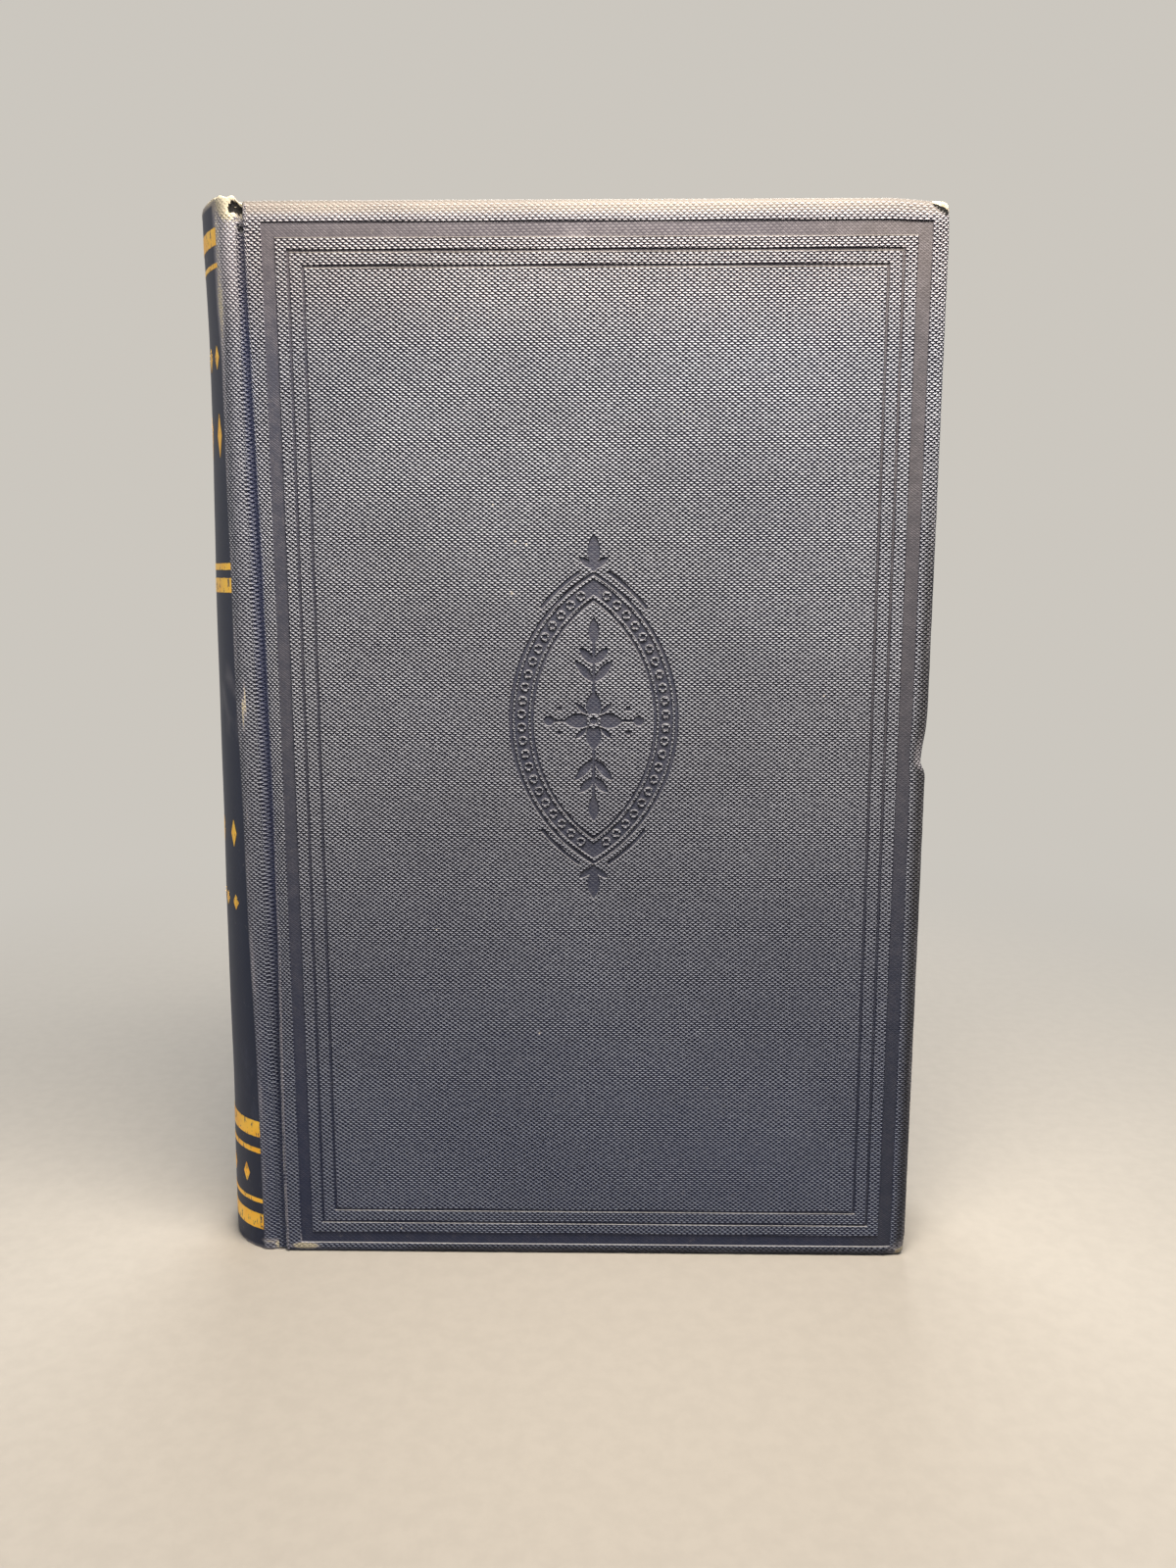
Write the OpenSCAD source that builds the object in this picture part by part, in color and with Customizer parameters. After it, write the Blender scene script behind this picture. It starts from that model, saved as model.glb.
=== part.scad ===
// Cloth-bound hardback book of the late nineteenth century, closed and standing
// on its tail. The fore-edge faces +X, the rounded spine -X, the front cover -Y
// and the head +Z. The origin is the bottom centre of the closed book.

/* [Text block] */
// Height of the cut pages
page_height = 222; // [180:1:260]
// Thickness of the pages, pressed
block_thickness = 30; // [24:0.5:36]
// How far the fore-edge is hollowed by the rounding
fore_edge_hollow = 5.5; // [2:0.5:7]
// Half angle of the rounded back, from its crest to a shoulder
back_angle = 64.5; // [60:0.5:68]
// How far each shoulder stands out from the pages
shoulder_height = 1.6; // [1.2:0.1:1.8]
// Width of each shoulder along the page
shoulder_width = 3.6; // [3.2:0.1:4]
// Thickness of one endpaper leaf
paper_thickness = 0.15; // [0.1:0.01:0.2]

/* [Back linings] */
// Thickness of the mull, a glued gauze
mull_thickness = 0.4; // [0.3:0.05:0.5]
// Thickness of the paper lining over the mull
lining_thickness = 0.3; // [0.2:0.05:0.4]
// Free space of the hollow back
hollow_back = 0.7; // [0.6:0.05:0.9]
// How far the mull reaches under a pastedown
flap_width = 25; // [15:1:35]

/* [Boards] */
// Width of a covered board, from the joint to its fore-edge
cover_width = 141.8; // [110:0.2:170]
// Thickness of the bare board
board_thickness = 2.6; // [2.2:0.1:3]
// Overhang of the covers beyond the pages, the square
square_width = 3; // [2:0.5:4]
// Rounding of the covered board's outer arris
arris_radius = 1.3; // [0.8:0.1:1.6]
// Rounding of the board's corners, seen from the front
corner_radius = 2.2; // [1.5:0.1:4]

/* [Case] */
// Thickness of the book cloth
cloth_thickness = 0.4; // [0.35:0.05:0.5]
// Width of the cloth turned in over the board edges
turn_in = 15; // [10:1:20]
// Thickness of the card strip that stiffens the spine
inlay_thickness = 0.6; // [0.4:0.05:0.8]
// Distance from a board's joint edge out to the crest of the spine
spine_depth = 15; // [14.6:0.1:15.4]
// Rounding of the cloth over the shoulder
ridge_radius = 3.5; // [3.4:0.05:3.6]
// Depth of the joint groove below the cover's face
groove_depth = 2.05; // [1.8:0.05:2.2]
// Space between closed cover and flyleaf
closed_gap = 0.3; // [0.3:0.05:0.4]
// Space between the cloth of the joint and the covered board
joint_gap = 0.35; // [0.3:0.05:0.4]

/* [Blind stamping] */
// Depth of the stamped lines in the cloth
stamp_depth = 0.2; // [0.1:0.05:0.25]
// Side margin from the board's edge to the wide band
band_margin_side = 3.5; // [2:0.1:6]
// Head margin from the board's edge to the wide band
band_margin_head = 4.1; // [2:0.1:6]
// Tail margin from the board's edge to the wide band
band_margin_tail = 2.3; // [2:0.1:6]
// Width of the wide smooth band
band_width = 2.7; // [1.5:0.1:4]
// Width of each of the two fine rules inside the band
rule_width = 0.55; // [0.4:0.05:0.8]
// Clear cloth between the band and the outer rule
rule_spacing_outer = 2.3; // [1.5:0.1:4]
// Clear cloth between the two rules
rule_spacing_inner = 2.45; // [1.5:0.1:4]

/* [Ornament] */
// Half height of the pointed oval
oval_half_height = 31.5; // [25:0.5:40]
// Half width of the pointed oval
oval_half_width = 18.1; // [16:0.1:22]
// Height of the ornament's centre above the cover's middle
ornament_rise = 9.2; // [0:0.1:15]
// Beads along each side of the oval
bead_count = 22; // [16:1:24]
// Radius of one bead, a raised ring
bead_radius = 0.95; // [0.6:0.05:1]
// Width of the bead's ring
bead_wall = 0.4; // [0.2:0.05:0.5]

/* [Gilding] */
// Thickness of the pressed foil
foil_thickness = 0.1; // [0.05:0.05:0.15]
// Width of one gilt lozenge on the spine
lozenge_width = 2.6; // [1.5:0.1:3]

/* [Dent] */
// Depth of the knock in the front cover's fore-edge
dent_depth = 1.2; // [0.5:0.1:2]
// Height of its deepest point above the tail
dent_height = 114.5; // [60:0.5:160]

/* [Hidden] */
$fn = 96;
eps = 0.05;

// Heights
cover_height = page_height + 2 * square_width;
lining_inset = turn_in + 1;
lining_height = cover_height - 2 * lining_inset;

// Levels across the thickness, outward from the middle of the block
block_half = block_thickness / 2;
leaf_y = block_half + paper_thickness;
paste_y = leaf_y + closed_gap;
turn_y = paste_y + paper_thickness;
board_in_y = turn_y + cloth_thickness;
board_out_y = board_in_y + board_thickness;
face_y = board_out_y + cloth_thickness;
groove_y = face_y - groove_depth;

// The rounded and backed spine of the block
tip_y = block_half + shoulder_height;
back_radius = tip_y / sin(back_angle);
mull_radius = back_radius + mull_thickness;
lining_radius = mull_radius + lining_thickness;
tucked_radius = lining_radius + hollow_back - cloth_thickness;
inlay_in_radius = lining_radius + hollow_back;
inlay_out_radius = inlay_in_radius + inlay_thickness;
spine_radius = inlay_out_radius + cloth_thickness;
flare_radius = (shoulder_width * shoulder_width + shoulder_height * shoulder_height)
    / (2 * shoulder_height);

// Places along X, with the closed book centred
total_width = cover_width + spine_depth;
fore_x = total_width / 2;
joint_x = fore_x - cover_width;
arc_x = -total_width / 2 + spine_radius;
tip_x = arc_x - back_radius * cos(back_angle);
flare_x = tip_x + shoulder_width;
page_fore_x = fore_x - square_width;
joint_stop_x = joint_x - joint_gap;

// The cloth leaves the round of the spine just before the shoulder
panel_angle = back_angle - 7;
inlay_angle = panel_angle - 3;
lap_angle = 0.2;
ridge_x = arc_x - (spine_radius - ridge_radius) * cos(panel_angle);
ridge_y = (spine_radius - ridge_radius) * sin(panel_angle);
groove_start_x = ridge_x + sqrt(pow(ridge_radius, 2) - pow(groove_y - ridge_y, 2));

// The frames and the ornament stamped in the covers
frame_x = [joint_x + band_margin_side + 0.15, fore_x - band_margin_side + 0.15];
frame_z = [band_margin_tail, cover_height - band_margin_head];
rule_outer_inset = band_width + rule_spacing_outer;
rule_inner_inset = rule_outer_inset + rule_width + rule_spacing_inner;
ornament_x = (joint_x + fore_x) / 2;
ornament_z = cover_height / 2 + ornament_rise;

// The oval is where two circles meet; its lines are smaller ovals in it
oval_radius = (pow(oval_half_height, 2) + pow(oval_half_width, 2)) / (2 * oval_half_width);
oval_centre = oval_radius - oval_half_width;
oval_line = 0.7;
oval_band = [1.2, 4.1];
oval_inner_line = [4.6, 5.2];
bead_arc = 0.86 * asin(oval_half_height / oval_radius);

// Gilt bands on the spine: lower and upper height above the tail, then the same
// below the head
tail_bands = [[4.8, 8.5], [11.2, 12.2], [23.4, 24.6], [27.3, 31.1]];
head_bands = [[9, 5.7], [13.1, 12.2], [72.9, 71.5], [77.7, 74.6]];
gilt_bands = [each tail_bands, for (band = head_bands)
    [cover_height - band[0], cover_height - band[1]]];
// Rows of gilt lozenges: height of the row, height of one, number in the row
gilt_rows = [[17.8, 4.6, 5], [81.8, 3.4, 7], [97.5, 6, 5],
             [cover_height - 45, 9, 5], [cover_height - 29.4, 4.6, 7]];
gilt_angle = panel_angle - 1;
lozenge_spread = 86;

module wedge(half_angle) {
    reach = 2 * spine_radius;
    polygon([[0, 0],
             [-reach * cos(half_angle), reach * sin(half_angle)],
             [-reach, reach * sin(half_angle)],
             [-reach, -reach * sin(half_angle)],
             [-reach * cos(half_angle), -reach * sin(half_angle)]]);
}

// Plan of a layer round the back, from one radius out to another
module back_layer(inner, outer, half_angle) {
    translate([arc_x, 0]) intersection() {
        difference() {
            circle(r = outer);
            circle(r = inner);
        }
        wedge(half_angle);
    }
}

// What a rounded corner leaves of a square one, at the origin
module corner_cut(radius) {
    difference() {
        translate([-eps, -eps]) square(radius + eps);
        translate([radius, radius]) circle(r = radius);
    }
}

// Rectangle from low to high whose four corners have their own radii, in the
// order low-low, high-low, high-high, low-high; 0 keeps a corner sharp
module rounded_plate(low, high, radii) {
    difference() {
        translate(low) square(high - low);
        if (radii[0] > 0) translate(low) corner_cut(radii[0]);
        if (radii[1] > 0) translate([high[0], low[1]]) mirror([1, 0]) corner_cut(radii[1]);
        if (radii[2] > 0) translate(high) rotate(180) corner_cut(radii[2]);
        if (radii[3] > 0) translate([low[0], high[1]]) mirror([0, 1]) corner_cut(radii[3]);
    }
}

// Lifts a drawing of X and Z to stand as a slab between two values of Y
module upright(y_low, y_high) {
    translate([0, y_high, 0]) rotate([90, 0, 0]) linear_extrude(y_high - y_low) children();
}

// The block of pages: flat sides, rounded back with shoulders, hollow fore-edge
module block_plan() {
    hollow_radius = (pow(block_half, 2) + pow(fore_edge_hollow, 2)) / (2 * fore_edge_hollow);
    difference() {
        union() {
            translate([flare_x, -block_half])
                square([page_fore_x - flare_x, block_thickness]);
            intersection() {
                translate([arc_x, 0]) circle(r = back_radius);
                translate([flare_x - 2 * back_radius, -back_radius])
                    square([2 * back_radius + eps, 2 * back_radius]);
            }
        }
        for (side = [-1, 1])
            translate([flare_x, side * (block_half + flare_radius)]) circle(r = flare_radius);
        translate([page_fore_x + hollow_radius - fore_edge_hollow, 0]) circle(r = hollow_radius);
    }
}

module text_block() {
    color("antiquewhite")
        translate([0, 0, square_width]) linear_extrude(page_height) block_plan();
}

module spine_mull() {
    color("linen")
        translate([0, 0, lining_inset]) linear_extrude(lining_height)
            back_layer(back_radius, mull_radius, back_angle);
}

module spine_lining() {
    color("tan")
        translate([0, 0, lining_inset]) linear_extrude(lining_height)
            back_layer(mull_radius, lining_radius, back_angle);
}

// The free endpaper lies on the pages and turns up along the shoulder
module flyleaf() {
    color("ivory")
        translate([0, 0, square_width]) linear_extrude(page_height) {
            translate([flare_x, block_half])
                square([page_fore_x - flare_x, paper_thickness]);
            intersection() {
                translate([flare_x, block_half + flare_radius]) difference() {
                    circle(r = flare_radius);
                    circle(r = flare_radius - paper_thickness);
                }
                translate([tip_x, block_half])
                    square([shoulder_width + eps, shoulder_height + paper_thickness]);
            }
        }
}

module spine_inlay() {
    color("burlywood")
        translate([0, 0, cloth_thickness]) linear_extrude(cover_height - 2 * cloth_thickness)
            back_layer(inlay_in_radius, inlay_out_radius, inlay_angle);
}

// Plan of the cloth over both shoulders and down into the joint grooves,
// between two depths below its outer surface
module joint_plan(depth_out, depth_in) {
    for (side = [-1, 1]) scale([1, side]) {
        intersection() {
            translate([ridge_x, ridge_y]) difference() {
                circle(r = ridge_radius - depth_out);
                circle(r = ridge_radius - depth_in);
            }
            polygon([[ridge_x, ridge_y],
                     [ridge_x - ridge_radius * cos(panel_angle) * 2,
                      ridge_y + ridge_radius * sin(panel_angle) * 2],
                     [groove_start_x, ridge_y + ridge_radius * sin(panel_angle) * 2],
                     [groove_start_x, ridge_y]]);
        }
        translate([groove_start_x - cloth_thickness, groove_y - depth_in])
            square([joint_stop_x - groove_start_x + cloth_thickness, depth_in - depth_out]);
    }
}

// The covering cloth from joint to joint, folded in at the head and the tail
module spine_cloth_plan() {
    back_layer(inlay_out_radius, spine_radius, panel_angle + lap_angle);
    joint_plan(0, cloth_thickness);
}

module spine_turn_in_plan() {
    back_layer(tucked_radius, inlay_in_radius, inlay_angle);
    difference() {
        back_layer(tucked_radius, inlay_out_radius, panel_angle + lap_angle);
        back_layer(0, spine_radius, inlay_angle);
    }
    joint_plan(cloth_thickness, 2 * cloth_thickness);
}

module spine_cloth() {
    color("midnightblue") difference() {
        union() {
            linear_extrude(cover_height) spine_cloth_plan();
            for (z = [0, cover_height - turn_in])
                translate([0, 0, z]) linear_extrude(turn_in) spine_turn_in_plan();
            for (z = [0, cover_height - cloth_thickness])
                translate([0, 0, z]) linear_extrude(cloth_thickness)
                    back_layer(tucked_radius, spine_radius, panel_angle);
        }
        gilt_shapes(eps);
    }
}

// Gilt bands and lozenges, as foil pressed flush into the cloth
module gilt_shapes(extra) {
    for (band = gilt_bands)
        translate([0, 0, band[0]]) linear_extrude(band[1] - band[0])
            back_layer(spine_radius - foil_thickness, spine_radius + extra, gilt_angle);
    for (row = gilt_rows) gilt_row(row[0], row[1], row[2], extra);
}

module gilt_row(height, tall, count, extra) {
    intersection() {
        translate([0, 0, height - tall]) linear_extrude(2 * tall)
            back_layer(spine_radius - foil_thickness, spine_radius + extra, gilt_angle);
        translate([arc_x, 0, height]) for (k = [0 : count - 1])
            rotate([0, 0, lozenge_spread * (k / (count - 1) - 0.5)])
                rotate([90, 0, -90]) linear_extrude(2 * spine_radius)
                    polygon([[-lozenge_width / 2, 0], [0, -tall / 2],
                             [lozenge_width / 2, 0], [0, tall / 2]]);
    }
}

module spine_gilding() {
    color("goldenrod") gilt_shapes(0);
}

// A covered or bare board: rounded outer arrises and corners, dented or not
module cover_solid(inset, y_low, dented) {
    low_x = joint_x + inset;
    high_x = fore_x - inset;
    high_z = cover_height - inset;
    y_high = face_y - inset;
    arris = arris_radius - inset;
    corner = corner_radius - inset;
    difference() {
        intersection() {
            linear_extrude(cover_height)
                rounded_plate([low_x, y_low], [high_x, y_high], [0, 0, arris, arris / 2]);
            translate([joint_x, 0, 0]) rotate([90, 0, 90]) linear_extrude(cover_width)
                rounded_plate([y_low, inset], [y_high, high_z], [0, arris, arris, 0]);
            upright(y_low, y_high)
                rounded_plate([low_x, inset], [high_x, high_z],
                              [arris / 2, corner, corner, arris / 2]);
        }
        if (dented) dent_cut(inset);
    }
}

// The knock runs in slowly from above and ends sharply below
module dent_cut(inset) {
    run_above = 14;
    run_below = 2.5;
    upright(0, face_y + eps) translate([fore_x - inset, dent_height])
        polygon([[-dent_depth, 0], [0, -run_below], [1, -run_below],
                 [1, run_above], [0, run_above]]);
}

// A rectangle's outline, drawn inside the stamped frame at some inset
module frame_line(inset, width) {
    low = [frame_x[0] + inset, frame_z[0] + inset];
    high = [frame_x[1] - inset, frame_z[1] - inset];
    difference() {
        translate(low) square(high - low);
        translate(low + [width, width]) square(high - low - [2 * width, 2 * width]);
    }
}

module stamped_frames() {
    frame_line(0, band_width);
    frame_line(rule_outer_inset, rule_width);
    frame_line(rule_inner_inset, rule_width);
}

module oval(inset) {
    intersection_for (side = [-1, 1])
        translate([side * oval_centre, 0]) circle(r = oval_radius - inset);
}

module leaf(length, width) {
    bend = (pow(length / 2, 2) + pow(width / 2, 2)) / width;
    translate([0, length / 2]) intersection_for (side = [-1, 1])
        translate([side * (bend - width / 2), 0]) circle(r = bend);
}

// A ring that stays raised in the oval's stamped band
module bead() {
    difference() {
        circle(r = bead_radius);
        circle(r = bead_radius - bead_wall);
    }
}

module beads() {
    bead_line = oval_radius - (oval_band[0] + oval_band[1]) / 2;
    for (side = [0, 1], k = [0 : bead_count - 1])
        mirror([side, 0]) translate([-oval_centre, 0])
            rotate(bead_arc * (2 * k / (bead_count - 1) - 1))
                translate([bead_line, 0]) bead();
}

// Above and below the oval: three leaves over a pair of curved sprays
module finial() {
    foot = oval_half_height + 0.6;
    spray_line = [1.1, 1.9];
    translate([0, foot]) {
        leaf(7.2, 2.6);
        for (turn = [-52, 52]) rotate(turn) leaf(4, 1.5);
        circle(r = 0.6);
    }
    for (side = [0, 1]) mirror([side, 0]) intersection() {
        translate([-oval_centre, 0]) difference() {
            circle(r = oval_radius + spray_line[1]);
            circle(r = oval_radius + spray_line[0]);
        }
        translate([3.2, 24]) square([10, 10]);
    }
}

// Inside the oval: a four-leaved flower with a stem of paired leaves each way
module flower() {
    petal = 6.4;
    heart = 1.5;
    difference() {
        for (turn = [0 : 90 : 270]) rotate(turn) leaf(petal, 3.2);
        circle(r = heart);
    }
    for (turn = [45 : 90 : 315]) rotate(turn) translate([0, 1.9]) leaf(3.6, 1.1);
    circle(r = 0.8);
    for (side = [0, 1]) mirror([0, side]) {
        translate([-0.3, petal - 0.5]) square([0.6, 10.5]);
        for (step = [0, 1], turn = [-40, 40])
            translate([0, 8.2 + 3.9 * step]) rotate(turn) leaf(6.2 - 1.6 * step, 1.9);
        translate([0, petal + 9.6]) leaf(6, 2.2);
    }
    for (side = [0, 1]) mirror([side, 0]) {
        translate([petal - 0.2, -0.3]) square([2.4, 0.6]);
        translate([petal + 3.2, 0]) circle(r = 1.1);
        for (turn = [-1, 1]) translate([petal + 1, turn * 2.6]) circle(r = 0.55);
    }
}

module ornament() {
    translate([ornament_x, ornament_z]) {
        difference() {
            oval(0);
            oval(oval_line);
        }
        difference() {
            oval(oval_band[0]);
            oval(oval_band[1]);
            beads();
        }
        difference() {
            oval(oval_inner_line[0]);
            oval(oval_inner_line[1]);
        }
        for (side = [0, 1]) mirror([0, side]) finial();
        flower();
    }
}

// Book cloth over one board, turned in on three sides and open at the joint
module cover_cloth(front) {
    color("midnightblue") difference() {
        cover_solid(0, turn_y, front);
        cover_solid(cloth_thickness, board_in_y, front);
        translate([joint_x - eps, turn_y - eps, turn_in])
            cube([cover_width - turn_in, cloth_thickness + 2 * eps, cover_height - 2 * turn_in]);
        translate([joint_x - eps, turn_y - eps, -eps])
            cube([cloth_thickness + eps, groove_y - turn_y, cover_height + 2 * eps]);
        upright(face_y - stamp_depth, face_y + eps) {
            stamped_frames();
            if (front) ornament();
        }
    }
}

module board(front) {
    color("peru") cover_solid(cloth_thickness, board_in_y, front);
}

// The mull's flap, glued to the board's inner face under the pastedown
module mull_flap() {
    color("linen") translate([joint_x + cloth_thickness, turn_y, lining_inset])
        cube([flap_width, cloth_thickness, lining_height]);
}

// The pasted endpaper covers turn-ins and flap, and dips to the bare board
module pastedown() {
    hinge_x = joint_x + 2 * cloth_thickness;
    dip_x = [joint_x + cloth_thickness + flap_width, fore_x - turn_in];
    dip_z = [turn_in, cover_height - turn_in];
    dip = [dip_x[1] - dip_x[0], dip_z[1] - dip_z[0]];
    color("ivory") difference() {
        union() {
            translate([hinge_x, paste_y, square_width])
                cube([page_fore_x - hinge_x, paper_thickness, page_height]);
            translate([dip_x[0], paste_y, dip_z[0]])
                cube([dip[0], board_in_y - paste_y, dip[1]]);
        }
        translate([dip_x[0] + paper_thickness, paste_y - eps, dip_z[0] + paper_thickness])
            cube([dip[0] - 2 * paper_thickness, cloth_thickness + eps,
                  dip[1] - 2 * paper_thickness]);
    }
}

// The front is the back seen in a mirror across the book's middle plane
module front_side() {
    mirror([0, 1, 0]) children();
}

text_block();
spine_mull();
spine_lining();
front_side() flyleaf();  // front_flyleaf
flyleaf();  // back_flyleaf
spine_inlay();
spine_cloth();
spine_gilding();
front_side() board(true);  // front_board
front_side() cover_cloth(true);  // front_cloth
front_side() mull_flap();  // front_mull_flap
front_side() pastedown();  // front_pastedown
board(false);  // back_board
cover_cloth(false);  // back_cloth
mull_flap();  // back_mull_flap
pastedown();  // back_pastedown
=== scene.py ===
"""Looks of the cloth-bound hardback book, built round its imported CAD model.

Sizes are in millimetres until a mesh is made. Shader sizes are in metres.
"""
import math
import random
from collections import defaultdict

import bmesh
import bpy
import numpy as np
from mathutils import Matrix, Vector, geometry, noise


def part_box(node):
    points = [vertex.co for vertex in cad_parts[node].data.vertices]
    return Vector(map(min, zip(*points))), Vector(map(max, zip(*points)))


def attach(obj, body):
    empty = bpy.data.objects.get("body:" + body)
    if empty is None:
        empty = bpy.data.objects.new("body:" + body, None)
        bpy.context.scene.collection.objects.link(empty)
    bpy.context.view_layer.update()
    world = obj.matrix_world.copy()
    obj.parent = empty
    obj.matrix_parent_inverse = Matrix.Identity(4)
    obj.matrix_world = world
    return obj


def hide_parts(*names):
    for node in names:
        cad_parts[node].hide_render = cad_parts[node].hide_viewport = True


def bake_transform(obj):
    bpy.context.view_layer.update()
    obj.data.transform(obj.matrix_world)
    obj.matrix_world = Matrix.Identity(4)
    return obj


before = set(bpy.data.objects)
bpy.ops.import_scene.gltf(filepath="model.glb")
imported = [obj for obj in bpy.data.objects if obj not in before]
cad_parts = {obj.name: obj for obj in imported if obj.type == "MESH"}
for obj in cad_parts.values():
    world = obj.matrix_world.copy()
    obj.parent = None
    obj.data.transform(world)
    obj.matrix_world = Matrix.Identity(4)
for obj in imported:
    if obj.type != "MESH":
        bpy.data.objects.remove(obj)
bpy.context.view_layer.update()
MM = 0.001
SIDES = ("front", "back")


# ---------------------------------------------------------------- sizes from the frame
def box_mm(node):
    return [[c / MM for c in corner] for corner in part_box(node)]


(JOINT_X, FACE_Y, _), (FORE_X, TURN_Y, HEIGHT) = box_mm("front_cloth")
FACE_Y, TURN_Y = -FACE_Y, -TURN_Y
SPINE_X = box_mm("spine_cloth")[0][0]
(_, _, BLOCK_Z0), (PAGE_X, TIP_Y, BLOCK_Z1) = box_mm("text_block")

# The spine's section and the knock in the fore-edge, as in the CAD model
BACK_ANGLE = 64.5
PANEL_ANGLE = 57.5
CLOTH = 0.4
BLOCK_HALF = 15.0
SPINE_R = 20.7916
ARC_X = SPINE_X + SPINE_R
RIDGE_R = 3.5
RIDGE_X = ARC_X - (SPINE_R - RIDGE_R) * math.cos(math.radians(PANEL_ANGLE))
RIDGE_Y = (SPINE_R - RIDGE_R) * math.sin(math.radians(PANEL_ANGLE))
GROOVE_Y = FACE_Y - 2.05
FLARE_R = 4.85
BACK_R = TIP_Y / math.sin(math.radians(BACK_ANGLE))
TIP_X = ARC_X - BACK_R * math.cos(math.radians(BACK_ANGLE))
FLARE_X = TIP_X + 3.6
TURN_IN = 15.0
DENT_Z = 114.5


# ---------------------------------------------------------------- small helpers
def smooth(t):
    t = np.clip(t, 0.0, 1.0)
    return t * t * (3 - 2 * t)


def wave(x, y, z, size, seed=0.0):
    """Smooth noise from about -1 to 1 with features of that size."""
    return noise.noise(Vector((x / size + seed, y / size - seed, z / size + 3.1 * seed)))


def cos_sin(degrees):
    a = math.radians(degrees)
    return math.cos(a), math.sin(a)


def add_object(name, data):
    made = bpy.data.objects.new(name, data)
    bpy.context.scene.collection.objects.link(made)
    return made


def stand_for(made, node, body):
    """A piece that is seen in place of a CAD solid and moves with its body."""
    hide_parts(node)
    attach(made, body)


def make_object(name, verts, faces, material, sharp, uv=None, looks=None):
    """A closed skin in metres, with a UV map in metres and float attributes, its faces turned outward."""
    mesh = bpy.data.meshes.new(name)
    mesh.from_pydata([tuple(c * MM for c in v) for v in verts], [], faces)
    mesh.materials.append(material)
    if uv is not None:
        layer = mesh.uv_layers.new(name="cloth")
        loops = np.zeros(len(mesh.loops), np.int32)
        mesh.loops.foreach_get("vertex_index", loops)
        layer.data.foreach_set("uv", (np.array(uv, float)[loops] * MM).ravel().astype(np.float32))
    for key, values in (looks or {}).items():
        found = mesh.attributes.new(key, "FLOAT", "POINT")
        found.data.foreach_set("value", np.array(values, np.float32))
    work = bmesh.new()
    work.from_mesh(mesh)
    bmesh.ops.remove_doubles(work, verts=work.verts, dist=1e-6)
    bmesh.ops.dissolve_degenerate(work, edges=work.edges, dist=1e-7)
    bmesh.ops.recalc_face_normals(work, faces=work.faces)
    work.to_mesh(mesh)
    work.free()
    mesh.update()
    mesh.shade_smooth()
    mesh.set_sharp_from_angle(angle=math.radians(sharp))
    made = add_object(name, mesh)
    return made


def sheet_faces(rows, columns):
    """Faces of a sheet with thickness: the grid of outer points, row by row, then the inner one."""
    size = rows * columns
    faces = []
    for start in range(0, (rows - 1) * columns, columns):
        for a in range(start, start + columns - 1):
            faces.append((a, a + 1, a + 1 + columns, a + columns))
    faces += [tuple(size + v for v in f[::-1]) for f in faces]
    for r in range(rows - 1):
        for c in (0, columns - 1):
            a, b = r * columns + c, (r + 1) * columns + c
            faces.append((a, b, size + b, size + a))
    for c in range(columns - 1):
        for r in (0, rows - 1):
            a, b = r * columns + c, r * columns + c + 1
            faces.append((a, b, size + b, size + a))
    return faces


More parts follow.
